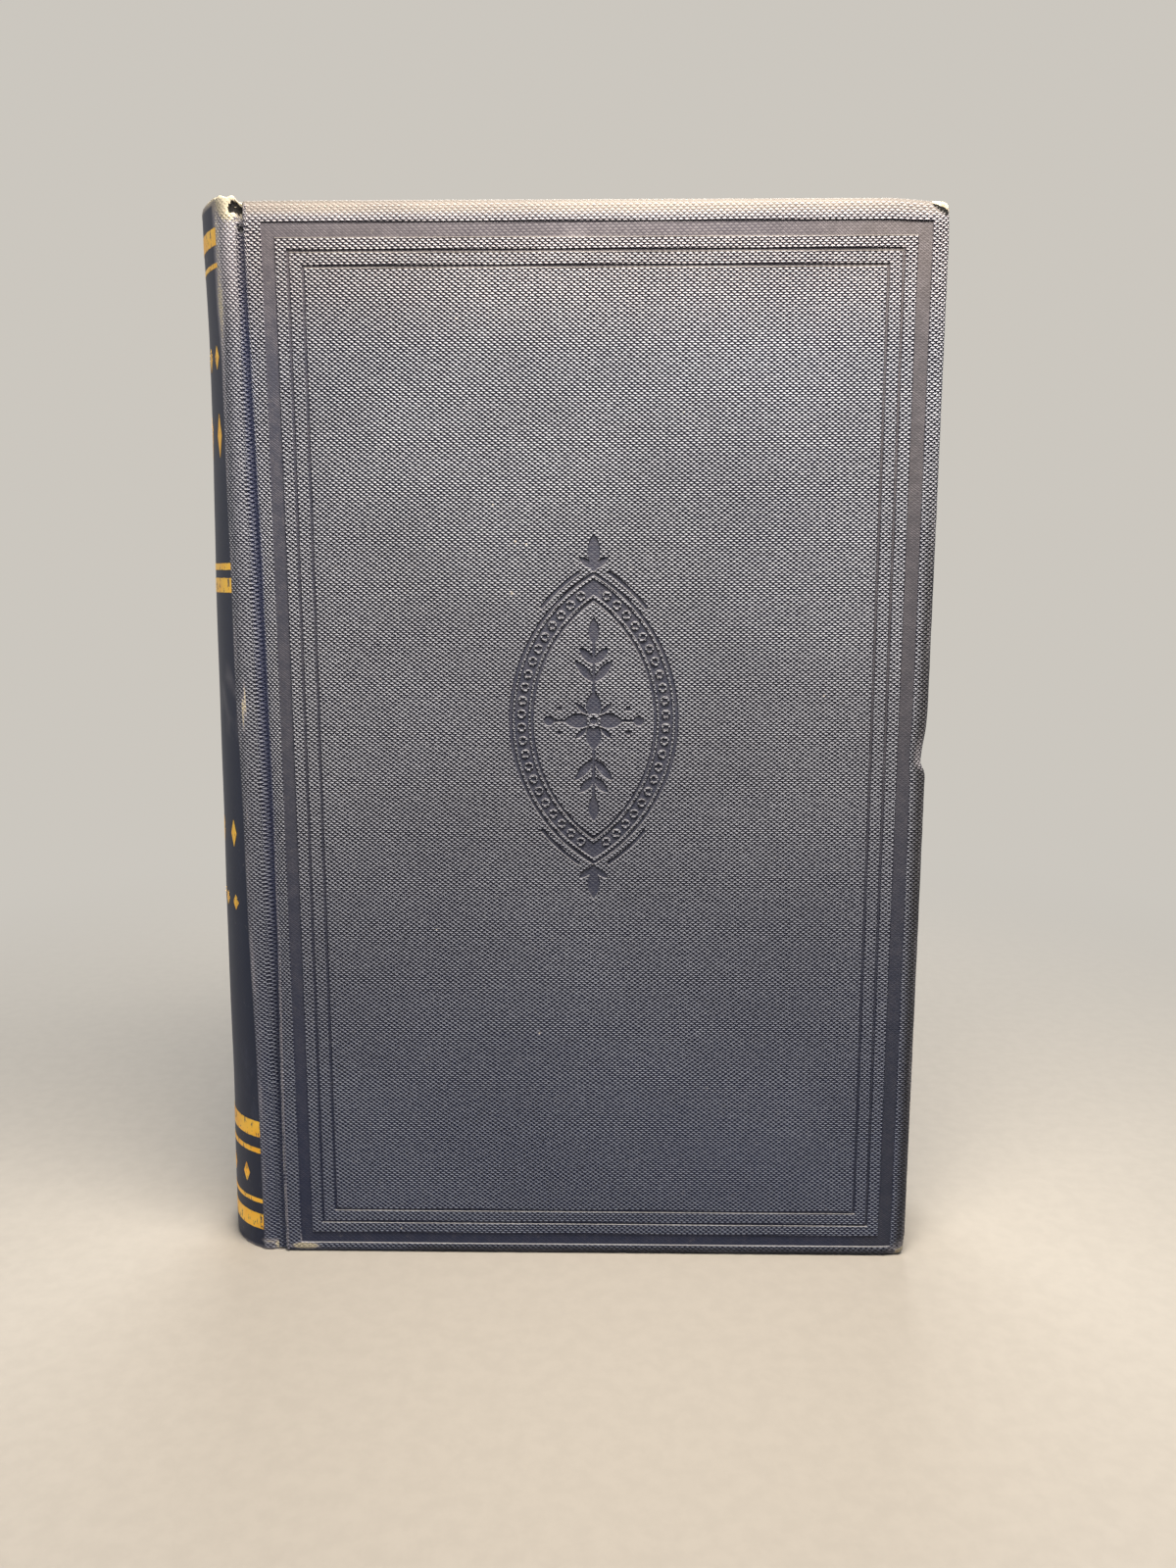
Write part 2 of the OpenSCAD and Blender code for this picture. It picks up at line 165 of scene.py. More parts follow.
# ---------------------------------------------------------------- shader helpers
class Graph:
    """Builds the nodes of one material, or of the world."""

    def __init__(self, owner):
        owner.use_nodes = True
        self.owner = owner
        self.tree = owner.node_tree
        self.shader = self.tree.nodes.get("Principled BSDF")

    def add(self, kind, *inputs, **properties):
        made = self.tree.nodes.new("ShaderNode" + kind)
        for key, value in properties.items():
            setattr(made, key, value)
        for socket, value in zip(made.inputs, inputs):
            self.put(socket, value)
        return made

    def put(self, socket, value):
        """Links another node's output, or sets a constant. A colour is given as red, green and blue."""
        if isinstance(value, bpy.types.NodeSocket):
            self.tree.links.new(value, socket)
        elif value is not None:
            socket.default_value = (*value, 1.0) if socket.type == "RGBA" else value

    def fill(self, node, **values):
        for key, value in values.items():
            self.put(node.inputs[key.replace("_", " ")], value)
        return node

    def finish(self, **values):
        self.fill(self.shader, **values)
        return self.owner

    def math(self, operation, a, b=None, c=None, clamp=False):
        return self.add("Math", a, b, c, operation=operation, use_clamp=clamp).outputs[0]

    def times(self, first, *others, clamp=False):
        for other in others:
            first = self.math("MULTIPLY", first, other, clamp=clamp)
        return first

    def affine(self, value, factor, offset):
        return self.math("MULTIPLY_ADD", value, factor, offset)

    def vector(self, operation, a, b=None):
        return self.add("VectorMath", a, b, operation=operation).outputs[0]

    def ramp(self, value, low, high, to_low=0.0, to_high=1.0, kind="SMOOTHSTEP"):
        return self.add("MapRange", value, low, high, to_low, to_high, interpolation_type=kind).outputs[0]

    def noise(self, coordinates, scale, detail, rough, out=0):
        made = self.add("TexNoise")
        return self.fill(made, Vector=coordinates, Scale=scale, Detail=detail, Roughness=rough).outputs[out]

    def mix(self, factor, a, b):
        made = self.add("Mix", data_type="RGBA")
        return self.fill(made, Factor=factor, A=a, B=b).outputs["Result"]

    def layers(self, colour, *over):
        """Lays (share, colour) pairs over a colour, one after the other."""
        for share, tint in over:
            colour = self.mix(share, colour, tint)
        return colour

    def attribute(self, name):
        return self.add("Attribute", attribute_name=name).outputs["Fac"]

    def place(self):
        return self.add("TexCoord").outputs["Object"]

    def facing_up(self):
        return self.add("SeparateXYZ", self.add("NewGeometry").outputs["True Normal"]).outputs[2]

    def scaled(self, vector, by):
        return self.fill(self.add("Mapping", vector), Scale=by).outputs[0]

    def bump(self, height, distance, strength, normal=None):
        made = self.add("Bump")
        self.fill(made, Strength=strength, Distance=distance, Height=height, Normal=normal)
        return made.outputs["Normal"]

    def surface(self, node, output="Material Output"):
        self.tree.links.new(node.outputs[0], self.tree.nodes[output].inputs["Surface"])
        return self.owner

    def seen(self):
        """1 where the camera or a reflection looks, 0 for light on its way to a surface."""
        path = self.add("LightPath").outputs
        either = self.math("MAXIMUM", path["Is Camera Ray"], path["Is Glossy Ray"])
        return self.math("MAXIMUM", either, path["Is Transmission Ray"])


def new_graph(name):
    return Graph(bpy.data.materials.new(name))


# ---------------------------------------------------------------- book cloth
GRAIN_U = 0.00124
GRAIN_V = 0.00095
GRAIN_DEPTH = 0.00034


def cloth_material():
    """Starched navy cloth: pressed into fine lozenges, flat where stamped, pale on its upper slopes from rubbing and
    painted highlight, with painted light and shade by height and on the stamping's walls.
    """
    g = new_graph("book_cloth")
    stamp, wear, fresh, panel = (g.attribute(name) for name in ("stamp", "wear", "fresh", "panel"))
    hole = g.ramp(g.attribute("hole"), 0.25, 0.6)

    # Places on the cloth, a little unsteady as in any weave
    uv = g.add("UVMap", uv_map="cloth").outputs[0]
    wander = g.vector("SUBTRACT", g.noise(uv, 160, 2, 0.5, out=1), (0.5, 0.5, 0.5))
    u, v, _ = g.add("SeparateXYZ", g.vector("ADD", uv, g.vector("MULTIPLY", wander, (0.0003, 0.0002, 0)))).outputs
    across = g.math("DIVIDE", g.affine(v, 0.03, u), GRAIN_U)
    along = g.math("DIVIDE", g.affine(u, -0.012, v), GRAIN_V)
    patchy = g.noise(uv, 22, 3, 0.6)
    per_dot = g.noise(uv, 900, 1, 0.5)
    threads = g.noise(uv, 2600, 2, 0.6)
    mottled = g.noise(uv, 9, 4, 0.6)

    # Zones of the cover: by height, which also set the painted light that falls off from the head to the tail, and
    # about the ornament
    head = g.ramp(v, 0.195, 0.222)
    rim = g.ramp(v, 0.2238, 0.2262)
    tail = g.ramp(v, 0.01, 0.12, 1.0, 0.0)
    lower = g.ramp(v, 0.04, 0.15, 0.85, 1.0)
    middle = g.ramp(g.math("ABSOLUTE", g.math("ADD", u, -0.008)), 0.025, 0.05, 0.8, 0.0)
    inner = g.times(middle, g.ramp(v, 0.03, 0.05))

    # Lozenges: 0 in their middle and 1 on their edges
    first = g.times(g.math("PINGPONG", g.math("ADD", across, along), 0.5), 2.0)
    second = g.times(g.math("PINGPONG", g.math("SUBTRACT", across, along), 0.5), 2.0)
    lozenge = g.math("SMOOTH_MAX", first, second, 0.3)
    flat = g.times(g.affine(stamp, -0.88, 1.0), g.ramp(patchy, 0.2, 0.75, 1.0, 0.85), g.affine(panel, -0.75, 1.0))
    # Painted shade in the grooves between the lozenges
    painted_valley_shade = g.times(g.ramp(lozenge, 0.55, 0.95), flat)
    rise = g.math("POWER", g.math("SUBTRACT", 1.0, lozenge, clamp=True), 0.85)
    relief = g.times(rise, flat, g.affine(g.attribute("soft"), -0.45, 1.0), g.affine(rim, -0.7, 1.0))

    # Pale dots on the lozenges' upper slopes: their rubbed tops with a painted highlight, set high on each lozenge and
    # slanted towards the lamp above
    level = g.affine(along, 2.0, -0.26)
    row = g.math("ROUND", level)
    beside = g.math("WRAP", g.affine(row, 0.5, across), -0.5, 0.5)
    above = g.affine(beside, g.ramp(u, -0.05, 0.05, 0.5, 0.05), g.math("SUBTRACT", level, row))
    squares = [g.math("POWER", g.math("ABSOLUTE", g.times(*pair)), 2.0) for pair in ((beside, 2.4), (above, 2.8))]
    gap = g.times(g.math("ADD", *squares), g.ramp(per_dot, 0.3, 0.7, 1.25, 0.85))
    crest = g.times(g.ramp(gap, 1.0, 0.3, 0.0, 1.0, "LINEAR"), g.ramp(patchy, 0.3, 0.8, 0.75, 1.0),
                    g.times(lower, g.affine(tail, -0.15, 1.0)))
    crest = g.times(crest, g.affine(stamp, g.affine(inner, 0.4, -0.8), 1.0), clamp=True)

    # Painted light: the ground greyer and warmer at the head, bluer and darker at the tail, and the pale dots whiter
    # at the head, fewer and bluer at the tail
    ground = g.layers(
        g.mix(g.ramp(mottled, 0.35, 0.7), (0.036, 0.042, 0.083), (0.047, 0.050, 0.078)),
        (tail, (0.027, 0.040, 0.108)),
        # Painted shade in the grooves between the lozenges
        (g.times(painted_valley_shade, 0.9), g.mix(tail, (0.008, 0.009, 0.022), (0.009, 0.013, 0.038))),
        (g.times(head, 0.4), (0.085, 0.070, 0.085)),
    )
    pale = g.mix(head, g.mix(tail, (0.56, 0.60, 0.70), (0.51, 0.57, 0.71)), (0.69, 0.68, 0.73))

    # Stamped cloth: smoother, with fine slanting lines; painted sheen at the head and on the band by the fore-edge,
    # and darker towards the tail as painted light falls off
    # Painted warm sheen on the band by the fore-edge, fading downward; near the tail that band turns a darker slate
    right = g.times(g.ramp(u, 0.045, 0.07), g.ramp(v, 0.06, 0.19, 0.0, 0.5))
    slate = g.times(g.ramp(u, 0.06, 0.072), g.times(tail, 0.6))
    streaks = g.ramp(g.noise(g.scaled(uv, (1.0, 0.8, 1.0)), 420, 3, 0.7), 0.38, 0.66)
    lines = g.times(g.ramp(g.math("PINGPONG", g.math("ADD", across, along), 0.25), 0.06, 0.2),
                    g.affine(streaks, 0.65, 0.2), g.ramp(v, 0.02, 0.2, 0.25, 0.8))
    pressed = g.layers(
        g.mix(g.ramp(mottled, 0.3, 0.7), (0.066, 0.074, 0.112), (0.094, 0.100, 0.132)),
        (middle, (0.047, 0.058, 0.108)),
        (tail, (0.031, 0.042, 0.088)),
        (g.times(head, 0.8), g.mix(patchy, (0.09, 0.085, 0.105), (0.20, 0.175, 0.18))),
        (right, (0.175, 0.155, 0.140)),
        (slate, (0.048, 0.055, 0.068)),
        (0.1, (0.0, 0.0, 0.0)),
        (lines, (0.30, 0.28, 0.31)),
    )

    # Painted highlight on the stamping's upward-facing walls and painted shade on its downward-facing ones, painted
    # shade along the fore-edge and the bottom edge, and the smooth panel on the back
    facing = g.facing_up()
    wall = g.times(stamp, g.math("SUBTRACT", 1.0, stamp), 4.0)
    painted_ledge_highlight = g.times(g.ramp(facing, 0.12, 0.45), wall, clamp=True)
    painted_ledge_highlight = g.times(painted_ledge_highlight, g.affine(inner, g.affine(head, 0.6, -0.6), 1.0))
    shady = g.math("MAXIMUM", g.times(g.ramp(u, 0.0750, 0.0772), g.ramp(v, 0.19, 0.14, 0.0, 0.8)),
                   g.times(g.ramp(v, 0.0024, 0.0014, 0.0, 0.65), g.ramp(u, -0.04, -0.03)))
    scuffs = g.ramp(g.noise(g.scaled(uv, (1.6, 0.7, 1.0)), 60, 5, 0.7), 0.5, 0.72)
    dusty = g.ramp(g.noise(uv, 420, 3, 0.7), 0.62, 0.8)

    # Wear, and on the spine's ridge painted highlight: dots rubbed into one another, dust, then bare threads and
    # board, then holes painted near-black as shade
    even = g.affine(g.math("MAXIMUM", rim, g.ramp(wear, 0.32, 0.46, 0.0, 0.75)), 0.55, 0.4)
    rub_and_highlight = g.times(g.ramp(wear, 0.03, 0.31, 0.0, 0.85), g.affine(crest, g.math("SUBTRACT", 1.0, even), even),
                  clamp=True)
    bare = g.ramp(g.affine(wear, 1.25, g.ramp(threads, 0.25, 0.75, -0.34, 0.14)), 0.44, 0.64)
    colour = g.layers(
        g.mix(g.times(crest, 0.92), ground, pale),
        (g.times(stamp, g.affine(inner, -0.25, 0.75)), pressed),
        # Painted highlight on the stamping's upward-facing walls
        (painted_ledge_highlight, (0.46, 0.465, 0.49)),
        # Painted shade on the stamping's downward-facing walls
        (g.times(g.ramp(facing, -0.12, -0.45), wall, clamp=True), (0.010, 0.010, 0.020)),
        # Painted shade along the fore-edge and the bottom edge
        (shady, (0.014, 0.013, 0.018)),
        (g.times(panel, 0.93), g.mix(g.times(scuffs, 0.5), (0.012, 0.021, 0.054), (0.055, 0.070, 0.125))),
        (g.times(fresh, 0.6), (0.065, 0.088, 0.235)),
        (g.times(dusty, 0.2), (0.42, 0.40, 0.38)),
        # Rubbed colour; on the spine's ridge and the panel's edge its lilac-white is partly painted highlight
        (rub_and_highlight, g.mix(rim, (0.55, 0.54, 0.62), (0.46, 0.415, 0.38))),
        # Painted light from above: cloth that faces up near the head made lighter and warmer
        (g.times(g.ramp(facing, 0.1, 0.65, 0.0, 0.8), g.ramp(v, 0.2, 0.21)), (0.155, 0.142, 0.13)),
        (bare, g.mix(threads, (0.62, 0.55, 0.40), (0.89, 0.83, 0.66))),
        # Painted shade: near-black inside the holes and the slit under the torn corner
        (hole, (0.004, 0.004, 0.004)),
    )
    return g.finish(
        Base_Color=colour,
        Roughness=g.affine(bare, 0.35, g.affine(stamp, 0.06, 0.44)),
        Normal=g.bump(relief, GRAIN_DEPTH, 1.0, g.bump(threads, 0.00002, 0.6)),
        Specular_IOR_Level=0.3,
    )


# ---------------------------------------------------------------- other materials
def gold_material():
    """Pressed foil, flaked and scratched through to the cloth."""
    g = new_graph("gilding")
    place = g.place()
    flake = g.noise(place, 700, 4, 0.7)
    streak = g.noise(g.scaled(place, (1, 1, 0.12)), 1500, 3, 0.7)
    lost = g.ramp(g.math("ADD", flake, g.ramp(streak, 0.48, 0.72, 0.0, 0.26)), 0.62, 0.70)
    tone = g.noise(place, 180, 3, 0.6)
    gold = g.mix(g.ramp(tone, 0.3, 0.7), (0.95, 0.50, 0.045), (1.0, 0.63, 0.09))
    return g.finish(
        Base_Color=g.mix(lost, gold, (0.05, 0.055, 0.08)),
        Metallic=g.affine(lost, -0.8, 0.82),
        Roughness=g.ramp(flake, 0.3, 0.7, 0.34, 0.5),
        Normal=g.bump(g.math("ADD", flake, g.times(lost, -1.0)), 0.00003, 0.6),
    )


def paper_material(name, base, dark, spots=0.3):
    """Aged uncoated paper with fibres and a few foxed spots."""
    g = new_graph(name)
    place = g.place()
    fibre = g.noise(place, 1800, 4, 0.7)
    colour = g.layers(
        base,
        (g.ramp(g.noise(place, 14, 5, 0.6), 0.3, 0.75), dark),
        (g.ramp(g.noise(place, 90, 2, 0.5), 0.7, 0.8, 0.0, spots), (0.36, 0.2, 0.08)),
        (g.ramp(fibre, 0.3, 0.7, 0.0, 0.16), [c * 0.7 for c in base]),
    )
    normal = g.bump(fibre, 0.00003, 0.5)
    return g.finish(Base_Color=colour, Roughness=0.85, Normal=normal, Specular_IOR_Level=0.3)


def page_edge_material():
    """Cut page edges: thin leaves, stacked across the book's thickness, browned and dusty."""
    g = new_graph("page_edges")
    place = g.place()
    leaf_place = g.scaled(place, (0.02, 1, 0.02))
    leaf_tone = g.noise(leaf_place, 7000, 2, 0.6)
    bundle = g.noise(leaf_place, 900, 3, 0.6)
    tone = g.noise(place, 30, 5, 0.65)
    colour = g.layers(
        g.mix(g.ramp(leaf_tone, 0.3, 0.7), (0.42, 0.33, 0.2), (0.82, 0.74, 0.57)),
        (g.ramp(bundle, 0.35, 0.65, 0.0, 0.5), (0.6, 0.48, 0.3)),
        (g.ramp(tone, 0.45, 0.8, 0.0, 0.5), (0.4, 0.31, 0.2)),
        (g.times(g.ramp(g.facing_up(), 0.5, 0.9), g.ramp(tone, 0.25, 0.7, 0.7, 0.92)), (0.25, 0.21, 0.155)),
    )
    normal = g.bump(leaf_tone, 0.00008, 0.8)
    return g.finish(Base_Color=colour, Roughness=0.8, Normal=normal, Specular_IOR_Level=0.3)


def board_material():
    """Grey-brown millboard with a fibrous surface."""
    g = new_graph("millboard")
    place = g.place()
    fibre = g.noise(place, 900, 5, 0.7)
    colour = g.layers(
        g.mix(fibre, (0.42, 0.33, 0.2), (0.66, 0.56, 0.38)),
        (g.ramp(g.noise(place, 40, 3, 0.5), 0.4, 0.7, 0.0, 0.4), (0.36, 0.3, 0.22)),
    )
    return g.finish(Base_Color=colour, Roughness=0.9, Normal=g.bump(fibre, 0.0001, 0.7))


def mull_material():
    """Open-weave gauze stiffened with glue."""
    g = new_graph("mull")
    place = g.place()
    x, y, z = g.add("SeparateXYZ", place).outputs
    threads = (z, g.math("ADD", x, g.times(y, 0.9)))
    weave = g.math("MAXIMUM", *(g.math("SINE", g.times(thread, 5200.0)) for thread in threads))
    colour = g.layers(
        g.mix(g.ramp(weave, 0.0, 0.9), (0.30, 0.22, 0.12), (0.68, 0.6, 0.45)),
        (g.ramp(g.noise(place, 120, 4, 0.6), 0.45, 0.7, 0.0, 0.7), (0.32, 0.2, 0.09)),
    )
    return g.finish(Base_Color=colour, Roughness=0.75, Normal=g.bump(weave, 0.00012, 0.8))


CLOTH_MAT = cloth_material()
GOLD_MAT = gold_material()
ENDPAPER_MAT = paper_material("endpaper", (0.74, 0.66, 0.5), (0.6, 0.5, 0.34))
LINING_MAT = paper_material("lining_paper", (0.45, 0.33, 0.2), (0.36, 0.25, 0.14), 0.1)
PAGES_MAT = page_edge_material()
BOARD_MAT = board_material()
MULL_MAT = mull_material()


# ---------------------------------------------------------------- stamped shapes
STAMP_DEPTH = 0.26
STAMP_LIP = 0.09
STAMP_WALL = 0.12


class Shape:
    """A flat outline: depth is positive inside it, and outlines draws it at an inset."""

    def __init__(self, depth, outlines):
        self.depth = depth
        self.outlines = outlines

    def moved(self, dx, dz, turn=0.0, flip_x=False, flip_z=False):
        c, s = cos_sin(turn)
        sx, sz = (-1 if flip_x else 1), (-1 if flip_z else 1)

        def out(points):
            x, z = np.asarray(points, float).T
            return np.stack([(x * c - z * s + dx) * sx, (x * s + z * c + dz) * sz], 1)

        def back(points):
            x, z = points[:, 0] * sx - dx, points[:, 1] * sz - dz
            return np.stack([x * c + z * s, -x * s + z * c], 1)

        return Shape(
            lambda p: self.depth(back(p)), lambda inset: [out(line) for line in self.outlines(inset)]
        )

    def without(self, *holes):
        """The shape less others that lie within it."""
        return Shape(
            lambda p: np.min([self.depth(p)] + [-hole.depth(p) for hole in holes], 0),
            lambda inset: self.outlines(inset) + [line for hole in holes for line in hole.outlines(-inset)],
        )


def arc(cx, cz, radius, start, end, step=0.45):
    count = max(3, int(abs(math.radians(end - start)) * radius / step) + 1)
    angles = np.radians(np.linspace(start, end, count))
    return np.stack([cx + radius * np.cos(angles), cz + radius * np.sin(angles)], 1)


def disc(radius):
    def outlines(inset):
        return [arc(0, 0, radius - inset, 0, 360, 0.3)[:-1]] if radius > inset else []

    return Shape(lambda p: radius - np.hypot(p[:, 0], p[:, 1]), outlines)


def lens_circle(half_height, half_width):
    """Radius of the two circles that meet in a pointed oval, and their centres' distance from its axis."""
    radius = (half_height**2 + half_width**2) / (2 * half_width)
    return radius, radius - half_width


def lens(half_height, half_width, inset0=0.0):
    """The pointed oval where two equal circles meet."""
    radius, centre = lens_circle(half_height, half_width)

    def depth(p):
        return radius - inset0 - np.hypot(np.abs(p[:, 0]) + centre, p[:, 1])

    def outlines(inset):
        r = radius - inset0 - inset
        if r <= centre + 0.02:
            return []
        reach = math.degrees(math.acos(centre / r))
        right = arc(-centre, 0, r, -reach, reach)
        left = right[::-1] * [-1, 1]
        return [np.concatenate([right[:-1], left[:-1]])]

    return Shape(depth, outlines)


def leaf(length, width):
    return lens(length / 2, width / 2).moved(0, length / 2)


def bar(x0, z0, x1, z1, step=4.0):
    def depth(p):
        return np.min([p[:, 0] - x0, x1 - p[:, 0], p[:, 1] - z0, z1 - p[:, 1]], 0)

    def outlines(inset):
        a, b, c, d = x0 + inset, z0 + inset, x1 - inset, z1 - inset
        if a >= c or b >= d:
            return []
        line = []
        corners = [(a, b), (c, b), (c, d), (a, d)]
        for (px, pz), (qx, qz) in zip(corners, corners[1:] + corners[:1]):
            count = max(1, int(math.hypot(qx - px, qz - pz) / step))
            line += [(px + (qx - px) * k / count, pz + (qz - pz) * k / count) for k in range(count)]
        return [np.array(line)]

    return Shape(depth, outlines)


def band_sector(radius_in, radius_out, centre, start, end):
    """Part of a ring between two angles."""

    def depth(p):
        x, z = p[:, 0] - centre, p[:, 1]
        r, a = np.hypot(x, z), np.degrees(np.arctan2(z, x))
        along = np.radians(np.minimum(a - start, end - a)) * r
        return np.min([r - radius_in, radius_out - r, along], 0)

    def outlines(inset):
        trim = math.degrees(inset / radius_in)
        outer = arc(centre, 0, radius_out - inset, start + trim, end - trim)
        inner = arc(centre, 0, radius_in + inset, end - trim, start + trim)
        return [np.concatenate([outer, inner])]

    return Shape(depth, outlines)


def frame_shapes():
    """The wide band and the two rules, from the edge inward."""
    x0, x1 = JOINT_X + 3.65, FORE_X - 3.35
    z0, z1 = 2.3, HEIGHT - 4.1

    def inside(inset):
        return bar(x0 + inset, z0 + inset, x1 - inset, z1 - inset)

    return [inside(inset).without(inside(inset + width)) for inset, width in ((0, 2.7), (5.0, 0.55), (8.0, 0.55))]


def ornament_shapes():
    """The pointed oval with its ringed border, its finials and its flower."""
    half_height, half_width = 31.5, 18.1
    radius, centre = lens_circle(half_height, half_width)

    def oval(inset):
        return lens(half_height, half_width, inset)

    rings = []
    reach = 0.86 * math.degrees(math.asin(half_height / radius))
    ring_line = radius - (1.2 + 4.1) / 2
    for flip in (False, True):
        for k in range(22):
            c, s = cos_sin(reach * (2 * k / 21 - 1))
            ring = disc(0.95).without(disc(0.55))
            rings.append(ring.moved(-centre + ring_line * c, ring_line * s, 0, flip))
    shapes = [oval(0).without(oval(0.7)), oval(1.2).without(oval(4.1)).without(*rings), oval(4.6).without(oval(5.2))]

    outer, inner = radius + 1.9, radius + 1.1
    start = math.degrees(math.asin(24.0 / outer))
    end = math.degrees(math.acos((3.2 + centre) / outer))
    spray = band_sector(inner, outer, -centre, start, end)
    foot = half_height + 0.6
    finial = [leaf(7.2, 2.6).moved(0, foot), disc(0.6).moved(0, foot)]
    finial += [leaf(4, 1.5).moved(0, foot, turn) for turn in (-52, 52)]
    finial += [spray, spray.moved(0, 0, 0, True)]
    for flip in (False, True):
        shapes += [s.moved(0, 0, 0, False, flip) for s in finial]

    petal = 6.4
    petals = [leaf(petal, 3.2).moved(0, 0, turn) for turn in (0, 90, 180, 270)]
    flower = Shape(
        lambda p: np.max([q.depth(p) for q in petals], 0),
        lambda inset: [line for q in petals for line in q.outlines(inset)],
    )
    shapes += [flower.without(disc(1.5)), disc(0.8)]
    shapes += [leaf(3.6, 1.1).moved(0, 1.9).moved(0, 0, turn) for turn in (45, 135, 225, 315)]
    for flip in (False, True):
        half = [bar(-0.3, petal - 0.5, 0.3, petal + 10)]
        for step in (0, 1):
            half += [leaf(6.2 - 1.6 * step, 1.9).moved(0, 8.2 + 3.9 * step, turn) for turn in (-40, 40)]
        half.append(leaf(6, 2.2).moved(0, petal + 9.6))
        shapes += [s.moved(0, 0, 0, False, flip) for s in half]
        arm = [bar(petal - 0.2, -0.3, petal + 2.2, 0.3), disc(1.1).moved(petal + 3.2, 0)]
        arm += [disc(0.55).moved(petal + 1, turn * 2.6) for turn in (-1, 1)]
        shapes += [s.moved(0, 0, 0, flip) for s in arm]
    x, z = (JOINT_X + FORE_X) / 2, HEIGHT / 2 + 9.2
    return [s.moved(x, z) for s in shapes]


# ---------------------------------------------------------------- covered boards
ARRIS = 1.3
JOINT_ARRIS = 0.65
CORNER = 1.4
BOARD_FACE = 15.8
CLOTH_FACE = 18
TURN_IN_BACK = 16.0
# A quarter turn round an edge or a corner is drawn in this many steps
QUARTER = 6
QUARTER_STEP = 90 / QUARTER


def cover_rings():
    """The cloth's section round a board's edge: (inset, level) on the three free sides and at the joint."""
    rings = [((1.6, FACE_Y), (0.9, FACE_Y)), ((1.45, FACE_Y), (0.75, FACE_Y))]
    for k in range(QUARTER + 1):
        c, s = cos_sin(QUARTER_STEP * k)
        rings.append(((ARRIS - ARRIS * s, FACE_Y - ARRIS + ARRIS * c),
                      (JOINT_ARRIS * (1 - s), FACE_Y - JOINT_ARRIS * (1 - c))))
    low = GROOVE_Y
    rings += [
        ((0, 16.9), (0, 17.6)), ((0, 16.1), (0, low + 0.1)), ((0.12, 15.75), (0.05, low + 0.03)),
        ((0.45, TURN_Y), (0.12, low)), ((3, TURN_Y), (0.18, low)), ((8, TURN_Y), (0.22, low)),
        ((14.7, TURN_Y), (0.25, low)), ((15, 15.7), (0.3, low)), ((15, 15.95), (0.35, low + 0.02)),
        ((14.7, TURN_IN_BACK), (0.38, low + 0.05)), ((8, TURN_IN_BACK), (0.39, low + 0.1)),
        ((1.2, TURN_IN_BACK), (0.4, low + 0.2)), ((0.5, 16.3), (0.4, low + 0.4)), ((0.4, 17.0), (0.4, low + 0.9)),
    ]
    inner, joint_inner = ARRIS - CLOTH, JOINT_ARRIS - CLOTH
    for k in range(QUARTER, -1, -2):
        c, s = cos_sin(QUARTER_STEP * k)
        rings.append(((ARRIS - inner * s, FACE_Y - ARRIS + inner * c),
                      (JOINT_ARRIS - joint_inner * s, FACE_Y - JOINT_ARRIS + joint_inner * c)))
    closing = FACE_Y - CLOTH - 0.12
    rings.append(((1.6, closing), (0.9, closing)))
    return rings


def side_steps(length, step, fine):
    """Shares along a side, closer together inside each (from, to, step)."""
    places, at = [0.0], 0.0
    while at < length:
        here = step
        for low, high, small in fine:
            if low <= at < high:
                here = small
        at += here
        places.append(min(at, length))
    return [p / length for p in places]


SIDE_X = side_steps(FORE_X - JOINT_X, 2.4, ((0, 10, 0.6), (134, 145, 0.4)))
SIDE_Z = side_steps(HEIGHT, 2.4, ((0, 5, 0.6), (106, 132, 0.8), (222, 230, 0.6)))


def ring_loop(free, joint):
    """One ring round a cover, from the tail's joint corner: points (x, level, z) and outward directions."""
    s, level = free
    t, joint_level = joint
    fore_r = max(CORNER - s, 0.0)
    joint_r = max(JOINT_ARRIS - min(s, t), 0.0)
    x0, x1 = JOINT_X + t, FORE_X - s
    z0, z1 = s, HEIGHT - s
    points = []

    def side(p, q, shares, out, y):
        for share in shares:
            points.append((p[0] + (q[0] - p[0]) * share, y, p[1] + (q[1] - p[1]) * share, *out))

    def corner(cx, cz, r, start, y_from, y_to):
        for k in range(1, QUARTER):
            c, s = cos_sin(start + QUARTER_STEP * k)
            points.append((cx + r * c, y_from + (y_to - y_from) * smooth(k / QUARTER), cz + r * s, c, s))

    back_x, back_z = ([1 - v for v in shares[::-1]] for shares in (SIDE_X, SIDE_Z))
    side((x0 + joint_r, z0), (x1 - fore_r, z0), SIDE_X, (0, -1), level)
    corner(x1 - fore_r, z0 + fore_r, fore_r, -90, level, level)
    side((x1, z0 + fore_r), (x1, z1 - fore_r), SIDE_Z, (1, 0), level)
    corner(x1 - fore_r, z1 - fore_r, fore_r, 0, level, level)
    side((x1 - fore_r, z1), (x0 + joint_r, z1), back_x, (0, 1), level)
    corner(x0 + joint_r, z1 - joint_r, joint_r, 90, level, joint_level)
    side((x0, z1 - joint_r), (x0, z0 + joint_r), back_z, (-1, 0), joint_level)
    corner(x0 + joint_r, z0 + joint_r, joint_r, 180, joint_level, level)
    return points


def inside_dent(z):
    """How deep the knock is at a height: slow above its deepest point, sharp below."""
    return math.exp(-(((z - DENT_Z) / (6.0 if z >= DENT_Z else 1.6)) ** 2))


# A cover keeps its place from here towards the fore-edge
SHIFT_END = -60.2


def joint_shift(z):
    """How far the groove has worked towards the fore-edge in the book's lower half."""
    return np.interp(z, (20, 47, 74, 101, 126, 155, 178, 201, 222), (0.0, 0.3, 0.9, 0.95, 0.85, 0.75, 0.45, 0.2, 0.0))


def follow_groove(x, y, z):
    return x + joint_shift(z) * smooth((SHIFT_END - x) / 3.0), y, z


